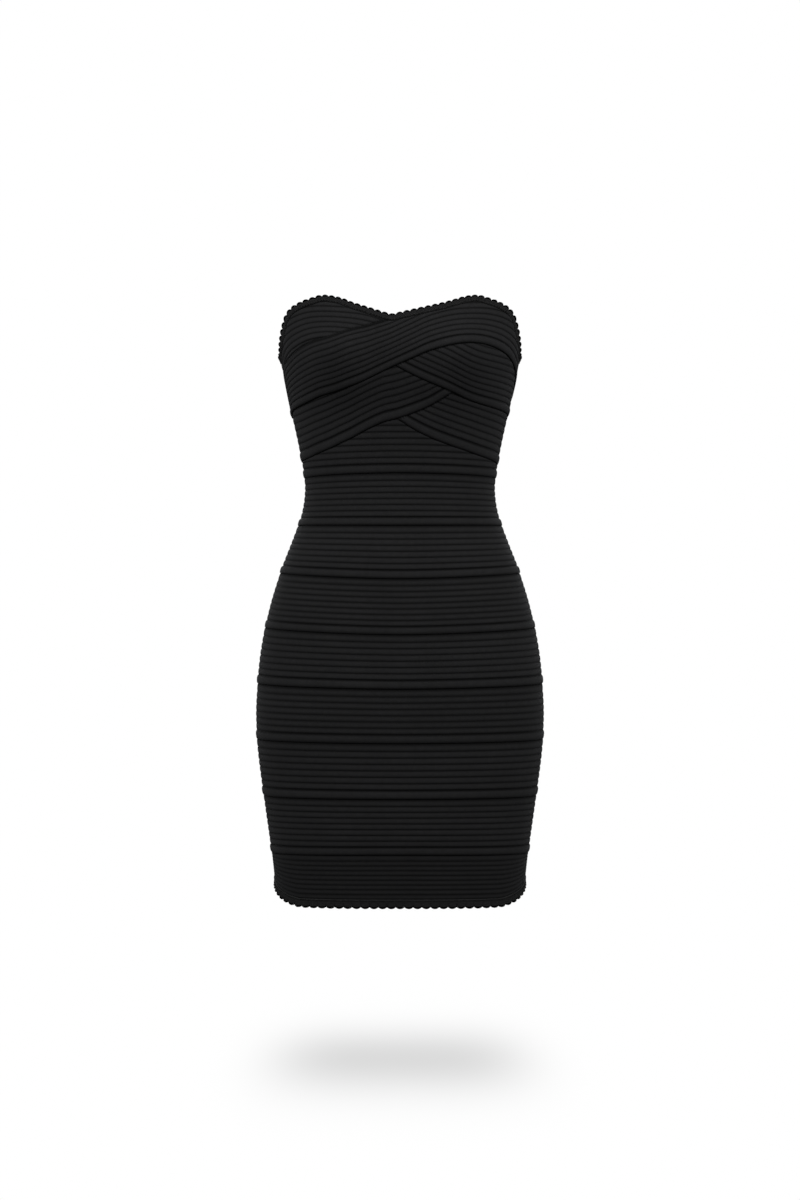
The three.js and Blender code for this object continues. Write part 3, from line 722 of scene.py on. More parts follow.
def yarn_row_tree() -> GeometryTree:
    """Builds the tree that sets small yarn stitches at even steps along a path."""
    tree = GeometryTree("yarn_row")
    tree.input("Spacing", default=2.0 * MM)
    tree.input("Stitch Length", default=2.0 * MM)
    tree.input("Stitch Radius", default=0.5 * MM)
    tree.input("Stitch Width", default=0.5 * MM)
    tree.input("Lean", default=0.0)
    start = tree.start()
    resample = tree.add("GeometryNodeResampleCurve", mode="LENGTH")
    tree.link(start.outputs["Geometry"], resample.inputs["Curve"])
    tree.link(start.outputs["Spacing"], resample.inputs["Length"])
    bead = tree.add("GeometryNodeMeshUVSphere")
    bead.inputs["Segments"].default_value = STITCH_SIDES
    bead.inputs["Rings"].default_value = STITCH_RINGS
    bead.inputs["Radius"].default_value = 1.0
    size = tree.add("ShaderNodeCombineXYZ")
    tree.link(start.outputs["Stitch Width"], size.inputs["X"])
    tree.link(start.outputs["Stitch Radius"], size.inputs["Y"])
    tree.put(size.inputs["Z"], tree.maths("MULTIPLY", start.outputs["Stitch Length"], 0.5))
    swell = tree.add("GeometryNodeInputRadius").outputs[0]
    grown = tree.vector("SCALE", size.outputs[0], scale=swell)
    tangent = tree.add("GeometryNodeInputTangent").outputs[0]
    align = tree.add("FunctionNodeAlignRotationToVector", axis="Z")
    tree.link(tangent, align.inputs["Vector"])
    turn = tree.add("FunctionNodeRotateRotation", rotation_space="LOCAL")
    tree.link(align.outputs[0], turn.inputs["Rotation"])
    spin = tree.add("ShaderNodeCombineXYZ")
    tree.link(start.outputs["Lean"], spin.inputs["X"])
    tree.link(spin.outputs[0], turn.inputs["Rotate By"])
    place = tree.add("GeometryNodeInstanceOnPoints")
    tree.link(resample.outputs[0], place.inputs["Points"])
    tree.link(bead.outputs["Mesh"], place.inputs["Instance"])
    tree.link(turn.outputs[0], place.inputs["Rotation"])
    tree.link(grown, place.inputs["Scale"])
    tree.finish(place.outputs[0])
    return tree


@dataclass
class WallGrid:
    """A grid of places on the form, from a panel's top edge down and across its shares."""

    turn: Array
    height: Array
    rib: Array
    relief: Array
    lap: Array
    shade: Array  # how much of the light reaches the cloth's tone, from 0 to 1
    outer: Array
    inner: Array
    keep: Array  # index of the grid point that each grid point is merged into

    def faces(self) -> tuple[list[tuple[int, ...]], Array]:
        """Returns the faces of the outer skin and the grid points that they use."""
        rows, columns = self.turn.shape
        quads = np.stack([
            self.keep[:-1, :-1], self.keep[1:, :-1], self.keep[1:, 1:], self.keep[:-1, 1:],
        ], axis=-1).reshape(-1, 4)
        faces = []
        for quad in quads.tolist():
            face = list(dict.fromkeys(quad))
            if len(face) > 2:
                faces.append(tuple(face))
        used = np.unique([corner for face in faces for corner in face])
        assert rows * columns > int(used.max())
        return faces, used


class WallBuilder:
    """Turns a wall grid into a closed mesh object with its attributes and UV map."""

    def __init__(self, form: BodyForm) -> None:
        """Takes the body form that walls lie on."""
        self.form = form

    def build(self, name: str, grid: WallGrid) -> bpy.types.Object:
        """Builds a closed wall.

        Args:
            name: the piece's name.
            grid: its places and offsets.

        Returns:
            The mesh object, linked to the scene.
        """
        faces, used = grid.faces()
        number = np.full(grid.turn.size, -1)
        number[used] = np.arange(len(used))
        turn, height = grid.turn.ravel()[used], grid.height.ravel()[used]
        base = self.form.point(turn, height)
        out = self.form.normal(turn, height)
        outer = base + out * grid.outer.ravel()[used][:, None]
        inner = base + out * grid.inner.ravel()[used][:, None]
        count = len(used)
        skin = [tuple(int(number[c]) for c in face) for face in faces]
        inside = [tuple(c + count for c in reversed(face)) for face in skin]
        rim = self.rim(skin, count)
        mesh = bpy.data.meshes.new(name)
        mesh.from_pydata((np.r_[outer, inner] * MM).tolist(), [], skin + inside + rim)
        self.attributes(mesh, grid, used, out)
        self.knit_uv(mesh, grid, number, count)
        piece = bpy.data.objects.new(name, mesh)
        bpy.context.scene.collection.objects.link(piece)
        return piece

    @staticmethod
    def rim(skin: list[tuple[int, ...]], count: int) -> list[tuple[int, ...]]:
        """Returns the faces that close a wall round its border."""
        edges = {(face[k], face[(k + 1) % len(face)]) for face in skin for k in range(len(face))}
        return [(b, a, a + count, b + count) for a, b in edges if (b, a) not in edges]

    @staticmethod
    def attributes(mesh: bpy.types.Mesh, grid: WallGrid, used: Array, out: Array) -> None:
        """Writes the attributes that the rib tree reads."""
        flat = {"rib": grid.rib, "relief": grid.relief, "lap": grid.lap, "shade": grid.shade}
        for name, values in flat.items():
            outside = values.ravel()[used]
            inside = outside if name in ("rib", "shade") else np.zeros_like(outside)
            layer = mesh.attributes.new(name, "FLOAT", "POINT")
            layer.data.foreach_set("value", np.r_[outside, inside].astype(np.float32))
        layer = mesh.attributes.new("out", "FLOAT_VECTOR", "POINT")
        layer.data.foreach_set("vector", np.r_[out, out].astype(np.float32).ravel())

    def knit_uv(self, mesh: bpy.types.Mesh, grid: WallGrid, number: Array, count: int) -> None:
        """Writes the UV map: metres along the girth, and metres across the ribs."""
        points = self.form.point(grid.turn, grid.height)
        steps = np.linalg.norm(np.diff(points, axis=1), axis=-1)
        girth = np.concatenate([np.zeros((len(steps), 1)), np.cumsum(steps, axis=1)], axis=1)
        girth -= girth[:, girth.shape[1] // 2][:, None]
        place = np.zeros((2 * count, 2))
        ids = number >= 0
        values = np.stack([girth.ravel()[ids], grid.rib.ravel()[ids] * Cloth.pitch], axis=-1) * MM
        place[:count] = values[np.argsort(number[ids])]
        place[count:] = place[:count]
        corners = np.empty(len(mesh.loops), np.int32)
        mesh.loops.foreach_get("vertex_index", corners)
        layer = mesh.uv_layers.new(name="knit")
        layer.data.foreach_set("uv", place[corners].astype(np.float32).ravel())


@dataclass
class Panel:
    """One ribbed knit piece, and what lies over its edges.

    Its upper edge is a line of its own, or lies a width up the form from its lower edge.
    """

    name: str
    lower: Line
    turn_of: Callable[[Array, Array], Array]
    shares: Array
    ribs: int
    upper: Line | None = None
    width: Line | None = None
    knit: Knit = Knit.CRISP
    lift: float = 0.0
    covers: tuple[Line, ...] = ()  # lower edges of the bands that cover it from above
    floors: tuple[Line, ...] = ()  # upper edges of the bands that cover it from below
    neck_trim: Line | None = None  # seam of the trim over its top
    hem_trim: Line | None = None  # seam of the trim over its foot
    sewn: tuple[float, ...] = (-1.0, 1.0)  # shares where a side of it is sewn
    lapped: bool = True


class PanelMaker:
    """Makes the mesh of a panel, with its hidden edges tucked under what covers them."""

    PHASES = (0.0, 0.05, 0.12, 0.22, 0.36, 0.5, 0.64, 0.78, 0.88, 0.95)
    TUCK = 4.0  # how far a covered edge reaches under its cover
    DIP = 1.6  # how far it sinks there
    DIP_START = -1.5
    DIP_REACH = 3.0
    TRIM_DIP = 0.7
    TRIM_REACH = 1.5
    LAP_INSIDE = 1.6  # the inner face of a lapped edge, clear of the band under it
    SIDE_STEPS = (0.5, 1.2, 2.2)  # distances of extra columns from a sewn side
    HEM_SHADE = 0.9  # painted shade on the hem bands, darker as the light falls off towards the bottom
    SIDE_ROLL = 0.5  # how far the cloth rolls in at a sewn side
    SIDE_RELIEF = 0.15  # how much of the ribs' rise is left there
    SIDE_LAP = 0.4  # how much of the lap's rise is left there
    SIDE_REACH = 20.0
    FLOOR_REACH = 2.4
    LINE_WIDTH = 0.13  # half width, in ribs, of the dark line over an edge rib
    LINE_SHADE = 0.9  # light that the dark line loses
    SEWN_EDGE_SHADE = 0.7  # light lost under the edge of the band above
    FREE_EDGE_SHADE = 0.95
    HIDDEN_SHADE = 2.5  # how fast the light goes under a cover
    TRIM_SHADE = 0.4  # light lost under a trim
    LAP_START = 1.02  # where the lap begins to rise, in ribs from the lower edge
    LAP_REACH = 0.35
    HALF_GIRTH = 210.0
    SETTLING_ROUNDS = 4

    def __init__(self, form: BodyForm, edges: Edges, cloth: Cloth, material: bpy.types.Material) -> None:
        """Takes the form, the edges, the cloth and the knit's material."""
        self.form = form
        self.edges = edges
        self.cloth = cloth
        self.material = material
        self.builder = WallBuilder(form)
        self.tree = rib_relief_tree()

    def rows(self, panel: Panel) -> tuple[Array, Array]:
        """Returns the rows' rib numbers and their shares of the way down, from the allowance."""
        ribs = panel.ribs
        first = self.cloth.first_rib if panel.upper else self.cloth.free_first_rib
        rib = np.array([0.0] + [k + phase for k in range(ribs) for phase in self.PHASES] + [ribs])
        starts = np.r_[0, np.cumsum(self.cloth.rib_heights(ribs, first))]
        way = np.interp(rib, np.arange(ribs + 1), starts)
        way[0] = -self.cloth.allowance
        return rib, way / starts[-1]

    def columns(self, panel: Panel) -> Array:
        """Returns the panel's shares, with more of them beside its sewn sides."""
        near = [abs(side - np.sign(side - 0.5) * step / self.HALF_GIRTH) * (-1 if side < 0 else 1)
                for side in panel.sewn for step in self.SIDE_STEPS]
        inside = [share for share in near if panel.shares.min() < share < panel.shares.max()]
        shares = np.unique(np.r_[panel.shares, inside])
        return shares if panel.shares[-1] > panel.shares[0] else shares[::-1]

    def heights(self, panel: Panel, turn: Array, down: Array) -> Array:
        """Returns the heights a share of the way down the panel."""
        lower = self.edges.moved(panel.lower, self.cloth.seam_gap)(turn)
        if panel.upper is None:
            return self.form.climb(turn, lower, panel.width(turn) * (1 - down))
        return mix(self.edges.moved(panel.upper, -self.cloth.seam_gap)(turn), lower, down)

    def grid(self, panel: Panel) -> WallGrid:
        """Returns the panel's grid."""
        rib_rows, down_rows = self.rows(panel)
        down, share = np.meshgrid(down_rows, self.columns(panel), indexing="ij")
        turn = panel.turn_of(share, np.zeros_like(share))
        for _ in range(self.SETTLING_ROUNDS):
            height = self.heights(panel, turn, down)
            turn = panel.turn_of(share, height)
        top, low = self.limits(panel, turn)
        keep = self.merged(height, top, low)
        clipped = np.maximum(np.minimum(height, top), low)
        rib = np.where(clipped == height, rib_rows[:, None], self.rib_at(height, rib_rows, clipped))
        hidden = self.hidden(panel, turn, clipped)
        under_trim = self.under_trim(panel, turn, clipped)
        from_side = np.min([np.abs(share - side) for side in panel.sewn], axis=0) * self.HALF_GIRTH
        side = 1 - smooth_step(from_side / self.SIDE_STEPS[-1])
        inland = smooth_step(from_side / self.SIDE_REACH)
        relief = (1 - hidden) * (1 - under_trim) * mix(self.SIDE_RELIEF, 1, inland)
        lap = self.lap(panel, rib) * (1 - hidden) * mix(self.SIDE_LAP, 1, inland)
        shade = self.shade(panel, rib) * (1 - smooth_step(hidden * self.HIDDEN_SHADE))
        shade = shade * (1 - self.TRIM_SHADE * under_trim)
        outer = (self.cloth.wall + panel.lift - self.DIP * hidden - self.SIDE_ROLL * side
                 - (panel.lift + self.TRIM_DIP) * under_trim)
        inner = np.minimum(outer - self.cloth.wall, panel.lift * 0.5)
        last = (rib >= panel.ribs + self.PHASES[-3] - 1.001) & panel.lapped & (hidden < 0.5)
        inner = np.where(last, self.LAP_INSIDE, inner)
        return WallGrid(turn, clipped, rib, relief, lap, shade, outer, inner, keep)

    def limits(self, panel: Panel, turn: Array) -> tuple[Array, Array]:
        """Returns the highest and the lowest height that the panel reaches under its covers."""
        top = np.full_like(turn, np.inf)
        low = np.full_like(turn, -np.inf)
        for cover in panel.covers:
            top = np.minimum(top, cover(turn) + self.TUCK)
        for floor in panel.floors:
            low = np.maximum(low, floor(turn) - self.TUCK)
        if panel.neck_trim:
            top = np.minimum(top, panel.neck_trim(turn) + self.cloth.allowance)
        return top, low

    def hidden(self, panel: Panel, turn: Array, height: Array) -> Array:
        """Returns how far each place lies under a cover, from 0 to 1."""
        depth = np.zeros_like(turn)
        for cover in panel.covers:
            past = height - cover(turn) - self.DIP_START
            depth = np.maximum(depth, smooth_step(past / self.DIP_REACH))
        for floor in panel.floors:
            depth = np.maximum(depth, smooth_step((floor(turn) - height) / self.FLOOR_REACH + 1))
        return depth

    def under_trim(self, panel: Panel, turn: Array, height: Array) -> Array:
        """Returns how far each place lies under a trim, from 0 to 1."""
        depth = np.zeros_like(turn)
        if panel.neck_trim:
            depth = smooth_step((height - panel.neck_trim(turn)) / self.TRIM_REACH + 1)
        if panel.hem_trim:
            under = panel.hem_trim(turn) - height
            depth = np.maximum(depth, smooth_step(under / self.TRIM_REACH + 1))
        return depth

    def shade(self, panel: Panel, rib: Array) -> Array:
        """Returns the cloth's light: less beside its edge rib, and under the edge of a band above."""
        if not panel.lapped:
            # painted shade: the hem bands are darkened, as the light falls off towards the bottom
            return np.full_like(rib, self.HEM_SHADE if panel.hem_trim else 1.0)
        line = np.exp(-(((rib - panel.ribs + 1) / self.LINE_WIDTH) ** 2))
        upper_edge = np.exp(-((rib / (2 * self.LINE_WIDTH)) ** 2))
        edge_shade = self.SEWN_EDGE_SHADE if panel.upper else self.FREE_EDGE_SHADE
        return (1 - self.LINE_SHADE * line) * (1 - edge_shade * upper_edge)

    @staticmethod
    def rib_at(height: Array, rib_rows: Array, place: Array) -> Array:
        """Returns the rib number at a height in each column."""
        columns = [np.interp(-place[:, k], -height[:, k], rib_rows) for k in range(height.shape[1])]
        return np.stack(columns, axis=-1)

    def lap(self, panel: Panel, rib: Array) -> Array:
        """Returns how far the lapped edge stands out, from 0 to 1 over the last rib."""
        if not panel.lapped:
            return np.zeros_like(rib)
        return smooth_step((rib - panel.ribs + self.LAP_START) / self.LAP_REACH)

    @staticmethod
    def merged(height: Array, top: Array, low: Array) -> Array:
        """Returns, for each grid point past a limit, the last point of its column past it."""
        index = np.arange(height.size).reshape(height.shape)
        rows = np.arange(height.shape[0])[:, None]
        above = height > top
        last_above = np.where(above, rows, -1).max(axis=0)
        keep_row = np.where(above, last_above[None, :], rows)
        below = height < low
        first_below = np.where(below, rows, height.shape[0]).min(axis=0)
        keep_row = np.where(below & ~above, np.maximum(first_below, last_above)[None, :], keep_row)
        return np.take_along_axis(index, keep_row, axis=0)

    def make(self, panel: Panel) -> bpy.types.Object:
        """Builds a panel's mesh, with its ribs raised."""
        piece = self.builder.build(panel.name, self.grid(panel))
        return self.tree.apply(piece, {
            "Rise": panel.knit.rise * MM,
            "Roundness": panel.knit.roundness,
            "Lap Rise": self.cloth.lap * MM,
            "Material": self.material,
        })


@dataclass
class Wardrobe:
    """Attaches finished pieces to their bodies, hides the CAD parts that they stand for, and logs them."""

    count: int = 0
    triangles: int = 0

    def dress(self, piece: bpy.types.Object, node: str, slot: str, body: str = ROOT,
              flat: tuple[float, float] | None = None) -> None:
        """Args:
            piece: the finished mesh object.
            node: the CAD node that it stands for.
            slot: the name of a material slot; not used.
            body: the body that it rides on.
            flat: its flat cut size in metres, if it is cloth; not used.
        """
        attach(piece, body)
        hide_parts(node)
        faces = sum(len(polygon.vertices) - 2 for polygon in piece.data.polygons)
        self.count += 1
        self.triangles += faces
        log.info("%s: %d triangles", piece.name, faces)


@dataclass
class Bodice:
    """The front of the bust: four bands that cross, over the band under the bust."""

    maker: PanelMaker
    edges: Edges
    form: BodyForm
    columns: int = 150
    second_width: float = 72.0
    lower_width: float = 67.0
    past_centre: float = 0.2  # share at which a band that goes under another ends
    third_end: float = 0.42
    second_free: float = -2.0  # turns where the lower edge of each band comes free, or goes under
    third_free: float = 24.0
    fourth_free: float = -1.0

    def panels(self) -> list[Panel]:
        """Returns the bust's panels, from the top layer down."""
        e, turn = self.edges, self.form.front_turn
        full = np.linspace(-1, 1, self.columns + 1)
        right_part = full[full <= self.past_centre]
        left_part = full[full >= -self.past_centre]
        trimmed = dict(turn_of=turn, neck_trim=e.trim_line)
        second = dict(lower=e.cup_right, width=self.level(self.second_width), ribs=10, **trimmed)
        lower_width = self.level(self.lower_width)
        return [
            Panel("knit_bust_band_1", e.cup_left, shares=full, ribs=9, width=e.top_width,
                  lift=0.9, **trimmed),
            Panel("knit_bust_band_2_upper_left", shares=right_part, lift=0.35,
                  floors=(e.top_band_upper,), **second),
            Panel("knit_bust_band_2_lower_right", shares=left_part, lift=0.5,
                  covers=(e.cup_left,), **second),
            Panel("knit_bust_band_3", e.rib_left, turn, full[full <= self.third_end], 8, width=lower_width,
                  lift=0.25, covers=(e.cup_left, self.under_second)),
            Panel("knit_bust_band_4", e.rib_right, turn, left_part, 8, width=lower_width,
                  lift=0.1, covers=(self.under_second, self.under_third)),
            Panel("knit_underbust_band", e.seam(0), turn, full, 8, upper=e.underbust_top,
                  covers=(self.under_third, self.under_fourth)),
        ]

    @staticmethod
    def level(width: float) -> Line:
        """Returns the rule of a band that is as wide everywhere."""
        return lambda turn: np.full_like(turn, width)

    def under_second(self, turn: Array) -> Array:
        """Returns the lower edge of the second band, where it lies free of the top band."""
        return np.where(turn > self.second_free, self.edges.cup_right(turn), OUT_OF_REACH)

    def under_third(self, turn: Array) -> Array:
        """Returns the lower edge of the third band, where it lies free of the second."""
        return np.where(turn < self.third_free, self.edges.rib_left(turn), OUT_OF_REACH)

    def under_fourth(self, turn: Array) -> Array:
        """Returns the lower edge of the fourth band, where it lies free of the third."""
        return np.where(turn > self.fourth_free, self.edges.rib_right(turn), OUT_OF_REACH)

    def dress(self, wardrobe: Wardrobe) -> None:
        """Builds and dresses every panel."""
        for panel in self.panels():
            piece = self.maker.make(panel)
            wardrobe.dress(piece, panel.name.removeprefix("knit_"), "knit", flat=flat_size(piece))


def flat_size(piece: bpy.types.Object) -> tuple[float, float]:
    """Returns the width and length of a piece as cut: one skin's area as worn, less its stretch."""
    mesh = piece.data
    points = np.empty(len(mesh.vertices) * 3)
    mesh.vertices.foreach_get("co", points)
    points = points.reshape(-1, 3)
    area = sum(polygon.area for polygon in mesh.polygons) / 2 / Cloth.stretch
    length = max(float(np.ptp(points[:, 2])), LEAST_CUT)
    return area / length, length


@dataclass
class BandStack:
    """The eight horizontal bands, at the front and in two halves at the back."""

    maker: PanelMaker
    edges: Edges
    form: BodyForm
    front_columns: int = 72
    back_columns: int = 38
    bust_ribs: int = 8
    bands: tuple[tuple[int, Knit], ...] = (
        (8, Knit.CRISP),
        (8, Knit.CRISP),
        (9, Knit.SOFT),
        (8, Knit.CRISP),
        (8, Knit.SOFT),
        (8, Knit.CRISP),
        (9, Knit.CRISP),
        (9, Knit.SOFT),
    )

    def panels(self) -> list[Panel]:
        """Returns every band, from the waist to the hem, then the back of the bust."""
        found = []
        front = np.linspace(-1, 1, self.front_columns + 1)
        hem_seam = self.edges.hem_trim_line
        for k, (ribs, knit) in enumerate(self.bands):
            place = dict(upper=self.edges.seam(k), ribs=ribs, knit=knit)
            if k + 1 < len(self.bands):
                place.update(lower=self.edges.seam(k + 1))
            else:
                under_hem = self.edges.moved(hem_seam, -self.edges.cloth.allowance)
                place.update(lower=under_hem, hem_trim=hem_seam, lapped=False)
            found.append(Panel(f"knit_front_band_{k + 1}", turn_of=self.form.front_turn,
                               shares=front, **place))
            found += self.back_halves(f"back_band_{k + 1}", **place)
        trim_seam = self.edges.trim_line
        found += self.back_halves("back_bust_1", upper=trim_seam, lower=self.back_bust_seam,
                                  ribs=self.bust_ribs, neck_trim=trim_seam)
        found += self.back_halves("back_bust_2", upper=self.back_bust_seam, lower=self.edges.seam(0),
                                  ribs=self.bust_ribs + 1)
        return found

    def back_bust_seam(self, turn: Array) -> Array:
        """Returns the level seam between the two back bust bands."""
        return np.full_like(turn, self.edges.BACK_BUST_SEAM)

    def back_halves(self, word: str, **place: object) -> list[Panel]:
        """Returns the two halves of a band at the back.

        Args:
            word: the band's name, before its side.
            place: the rest of the panel's fields.

        Returns:
            The left and the right half.
        """
        shares = np.linspace(0, 1, self.back_columns + 1)
        return [
            Panel(f"knit_{word}_{side.word}", turn_of=self.form.back_turn(side), sewn=(0.0, 1.0),
                  shares=shares[::-1] if side is Side.LEFT else shares, **place)
            for side in Side
        ]

    def dress(self, wardrobe: Wardrobe) -> None:
        """Builds and dresses every band."""
        for panel in self.panels():
            piece = self.maker.make(panel)
            wardrobe.dress(piece, panel.name.removeprefix("knit_"), "knit", flat=flat_size(piece))


@dataclass(frozen=True)
class StitchRow:
    """A row of yarn stitches along a trim."""

    place: float  # share of the way from the free edge to the seam
    spacing: float
    radius: float
    lean: float


@dataclass
class ScallopedTrims:
    """The scalloped edging of the neck and the hem: a strip, a dark corded edge and its stitches."""

    form: BodyForm
    edges: Edges
    cloth: Cloth
    neck_yarn: bpy.types.Material
    # painted shade: the hem's yarn is the neck's yarn made darker, for the dimmer light at the hem
    hem_shaded_yarn: bpy.types.Material
    cord_yarn: bpy.types.Material
    neck_scallop: float = 8.5
    hem_scallop: float = 10.0
    depth: float = 1.7
    neck_shift: float = -2.5  # how far the cord's middle lies past the CAD edge
    hem_shift: float = 0.4
    puff: float = 1.1  # how far each scallop stands out from the cloth
    columns_per_scallop: int = 10
    rows: Array = field(default_factory=lambda: np.linspace(0, 1, 15))
    light_rows: tuple[StitchRow, ...] = (
        StitchRow(0.36, 2.0, 0.42, 0.8),
        StitchRow(0.58, 2.0, 0.42, -0.8),
    )
    seam_row: StitchRow = StitchRow(0.88, 3.4, 0.5, 0.0)
    cord: StitchRow = StitchRow(0.0, 1.2, 1.05, 0.0)
    cord_swell: tuple[float, float] = (0.35, 1.05)  # at a notch, and what a scallop adds
    cord_lift: float = 0.9
    bead_fullness: float = 0.6  # below 1 a scallop is blunter than a half wave
    strip_rise: float = 0.35
    strip_roundness: float = 2.0
    strip_lap: float = 0.3
    middle: float = 0.9  # of the strip's wall, over the form
    roll: float = 0.14  # share of the width over which the free edge rolls in
    seam_start: float = 0.6  # share of the way down where the strip steps over the knit
    seam_reach: float = 0.2
    seam_outer: float = 0.5
    seam_inner: float = 1.1
    edge_points: int = 1600
    settling_rounds: int = 5

    def dress(self, wardrobe: Wardrobe) -> None:
        """Builds and dresses the six trims."""
        builder = WallBuilder(self.form)
        relief = rib_relief_tree()
        yarn = yarn_row_tree()
        parts = [("front", self.form.front_turn, -1.0, 1.0)]
        parts += [(f"back_{side.word}", self.form.back_turn(side),
                   1.0 if side is Side.LEFT else 0.0, 0.0 if side is Side.LEFT else 1.0) for side in Side]
        for word, turn_of, start, end in parts:
            for place, edge, seam, pitch, up in (
                ("neck", self.edges.neckline, self.edges.trim_line, self.neck_scallop, 1),
                ("hem", self.edges.hem, self.edges.hem_trim_line, self.hem_scallop, -1),
            ):
                share, wave, count = self.scallops(turn_of, edge, start, end, pitch)
                grid = self.grid(turn_of, edge, seam, share, wave, up)
                name = f"edging_{place}_{word}"
                strip_yarn = self.neck_yarn if up > 0 else self.hem_shaded_yarn
                strip = relief.apply(builder.build(name, grid), {
                    "Rise": self.strip_rise * MM, "Roundness": self.strip_roundness,
                    "Lap Rise": self.strip_lap * MM, "Material": strip_yarn,
                })
                piece = self.with_stitches(strip, grid, wave, up, strip_yarn, yarn)
                log.info("%s: %d scallops", name, count)
                wardrobe.dress(piece, f"{place}_trim_{word}", "trim", flat=flat_size(piece))

    def scallops(self, turn_of: Callable[[Array, Array], Array], edge: Line, start: float, end: float,
                 pitch: float) -> tuple[Array, Array, int]:
        """Returns even shares along an edge, the scallops' wave there from 0 to 1, and their count."""
        fine = np.linspace(start, end, self.edge_points)
        turn, height = self.settle(turn_of, edge, fine)
        points = self.form.point(turn, height)
        run = np.r_[0, np.cumsum(np.linalg.norm(np.diff(points, axis=0), axis=1))]
        count = round(float(run[-1]) / pitch)
        goal = np.linspace(0, run[-1], count * self.columns_per_scallop + 1)
        phase = goal / run[-1] * count
        wave = np.abs(np.sin(np.pi * phase)) ** self.bead_fullness
        return np.interp(goal, run, fine), wave, count

    def settle(self, turn_of: Callable[[Array, Array], Array], line: Line,
               share: Array) -> tuple[Array, Array]:
        """Returns the turns and heights where shares meet a line."""
        turn = turn_of(share, np.zeros_like(share))
        for _ in range(self.settling_rounds):
            height = line(turn)
            turn = turn_of(share, height)
        return turn, height

    def grid(self, turn_of: Callable[[Array, Array], Array], edge: Line, seam: Line, share: Array,
             wave: Array, up: int) -> WallGrid:
        """Returns a trim's grid, whose seam lies over the cloth it is sewn to.

        Args:
            turn_of: the rule for the turn of a share.
            edge: the free edge before its scallops.
            seam: the edge sewn to the cloth.
            share: the shares of the columns.
            wave: the scallops' wave at each column.
            up: 1 where the free edge is the upper one, else -1.

        Returns:
            The wall's grid.
        """
        turn, height = self.settle(turn_of, edge, share)
        sewn = self.edges.moved(seam, -up * self.cloth.seam_gap)
        seam_turn, seam_height = self.settle(turn_of, sewn, share)
        slant = self.edges.slant(edge, turn)
        shift = self.neck_shift if up > 0 else self.hem_shift
        free = height + up * ((wave - 0.5) * self.depth + shift) * slant
        down = self.rows[:, None]
        first, last = (free, seam_height) if up > 0 else (seam_height, free)
        heights = mix(first[None, :], last[None, :], down)
        start_turn, end_turn = (turn, seam_turn) if up > 0 else (seam_turn, turn)
        turns = mix(start_turn[None, :], end_turn[None, :], down)
        from_free = down if up > 0 else 1 - down
        rolled = np.sqrt(np.clip(1 - (1 - np.clip(from_free / self.roll, 0, 1)) ** 2, 0, 1))
        puff = self.puff * wave[None, :] * (1 - from_free)
        at_seam = smooth_step((from_free - self.seam_start) / self.seam_reach)
        outer = self.middle + rolled + puff + self.seam_outer * at_seam
        inner = self.middle * (1 - rolled + puff) + self.seam_inner * at_seam
        rib = np.broadcast_to(np.linspace(0, 3, len(self.rows))[:, None], heights.shape)
        relief = np.broadcast_to(np.clip(from_free * 4, 0, 1), heights.shape)
        lap = wave[None, :] * np.clip(1.2 - from_free * 2, 0, 1)
        keep = np.arange(heights.size).reshape(heights.shape)
        shade = np.ones_like(heights)
        return WallGrid(turns, heights, rib.copy(), relief.copy(), lap, shade, outer, inner, keep)

    def with_stitches(self, strip: bpy.types.Object, grid: WallGrid, wave: Array, up: int,
                      strip_yarn: bpy.types.Material, yarn: GeometryTree) -> bpy.types.Object:
        """Joins the corded edge and rows of yarn stitches to a strip.

        Args:
            strip: the strip's mesh object.
            grid: its grid.
            wave: the scallops' wave at each column.
            up: 1 where the free edge is the upper one, else -1.
            strip_yarn: the strip's material, which its light stitches share.
            yarn: the tree that sets stitches along a path.

        Returns:
            The strip with its stitches, as one object.
        """
        level = np.ones_like(wave)
        notch, crown = self.cord_swell
        rows = [(self.cord, notch + crown * wave, self.cord_yarn), (self.seam_row, level, self.cord_yarn)]
        rows += [(row, level, strip_yarn) for row in self.light_rows]
        meshes = []
        last = len(self.rows) - 1
        for number, (row, swell, material) in enumerate(rows):
            k = round(row.place * last) if up > 0 else last - round(row.place * last)
            turn, height = grid.turn[k], grid.height[k]
            lift = grid.outer[k] + self.cord_lift * wave * (1 - row.place)
            path = self.form.point(turn, height) + self.form.normal(turn, height) * lift[:, None]
            curve = path_curve(f"{strip.name}_row_{number}", path, swell)
            meshes.append(yarn.apply(curve, {
                "Spacing": row.spacing * MM, "Stitch Length": max(row.spacing, 3 * row.radius) * 1.2 * MM,
                "Stitch Radius": row.radius * MM, "Stitch Width": row.radius * MM,
                "Lean": row.lean, "Material": material,
            }))
        return join(strip, meshes)


def path_curve(name: str, points: Array, swell: Array | None = None) -> bpy.types.Object:
    """Returns a poly curve object through points in millimetres, whose radius is the swell."""
    data = bpy.data.curves.new(name, "CURVE")
    data.dimensions = "3D"
    spline = data.splines.new("POLY")
    spline.points.add(len(points) - 1)
    spline.points.foreach_set("co", np.c_[points * MM, np.ones(len(points))].ravel())
    spline.points.foreach_set("radius", np.ones(len(points)) if swell is None else swell)
    curve = bpy.data.objects.new(name, data)
    bpy.context.scene.collection.objects.link(curve)
    return curve


def join(main: bpy.types.Object, others: list[bpy.types.Object]) -> bpy.types.Object:
    """Joins mesh objects into the first one."""
    for piece in bpy.context.selected_objects:
        piece.select_set(False)
    for piece in [main, *others]:
        piece.select_set(True)
    bpy.context.view_layer.objects.active = main
    bpy.ops.object.join()
    main.select_set(False)
    return main


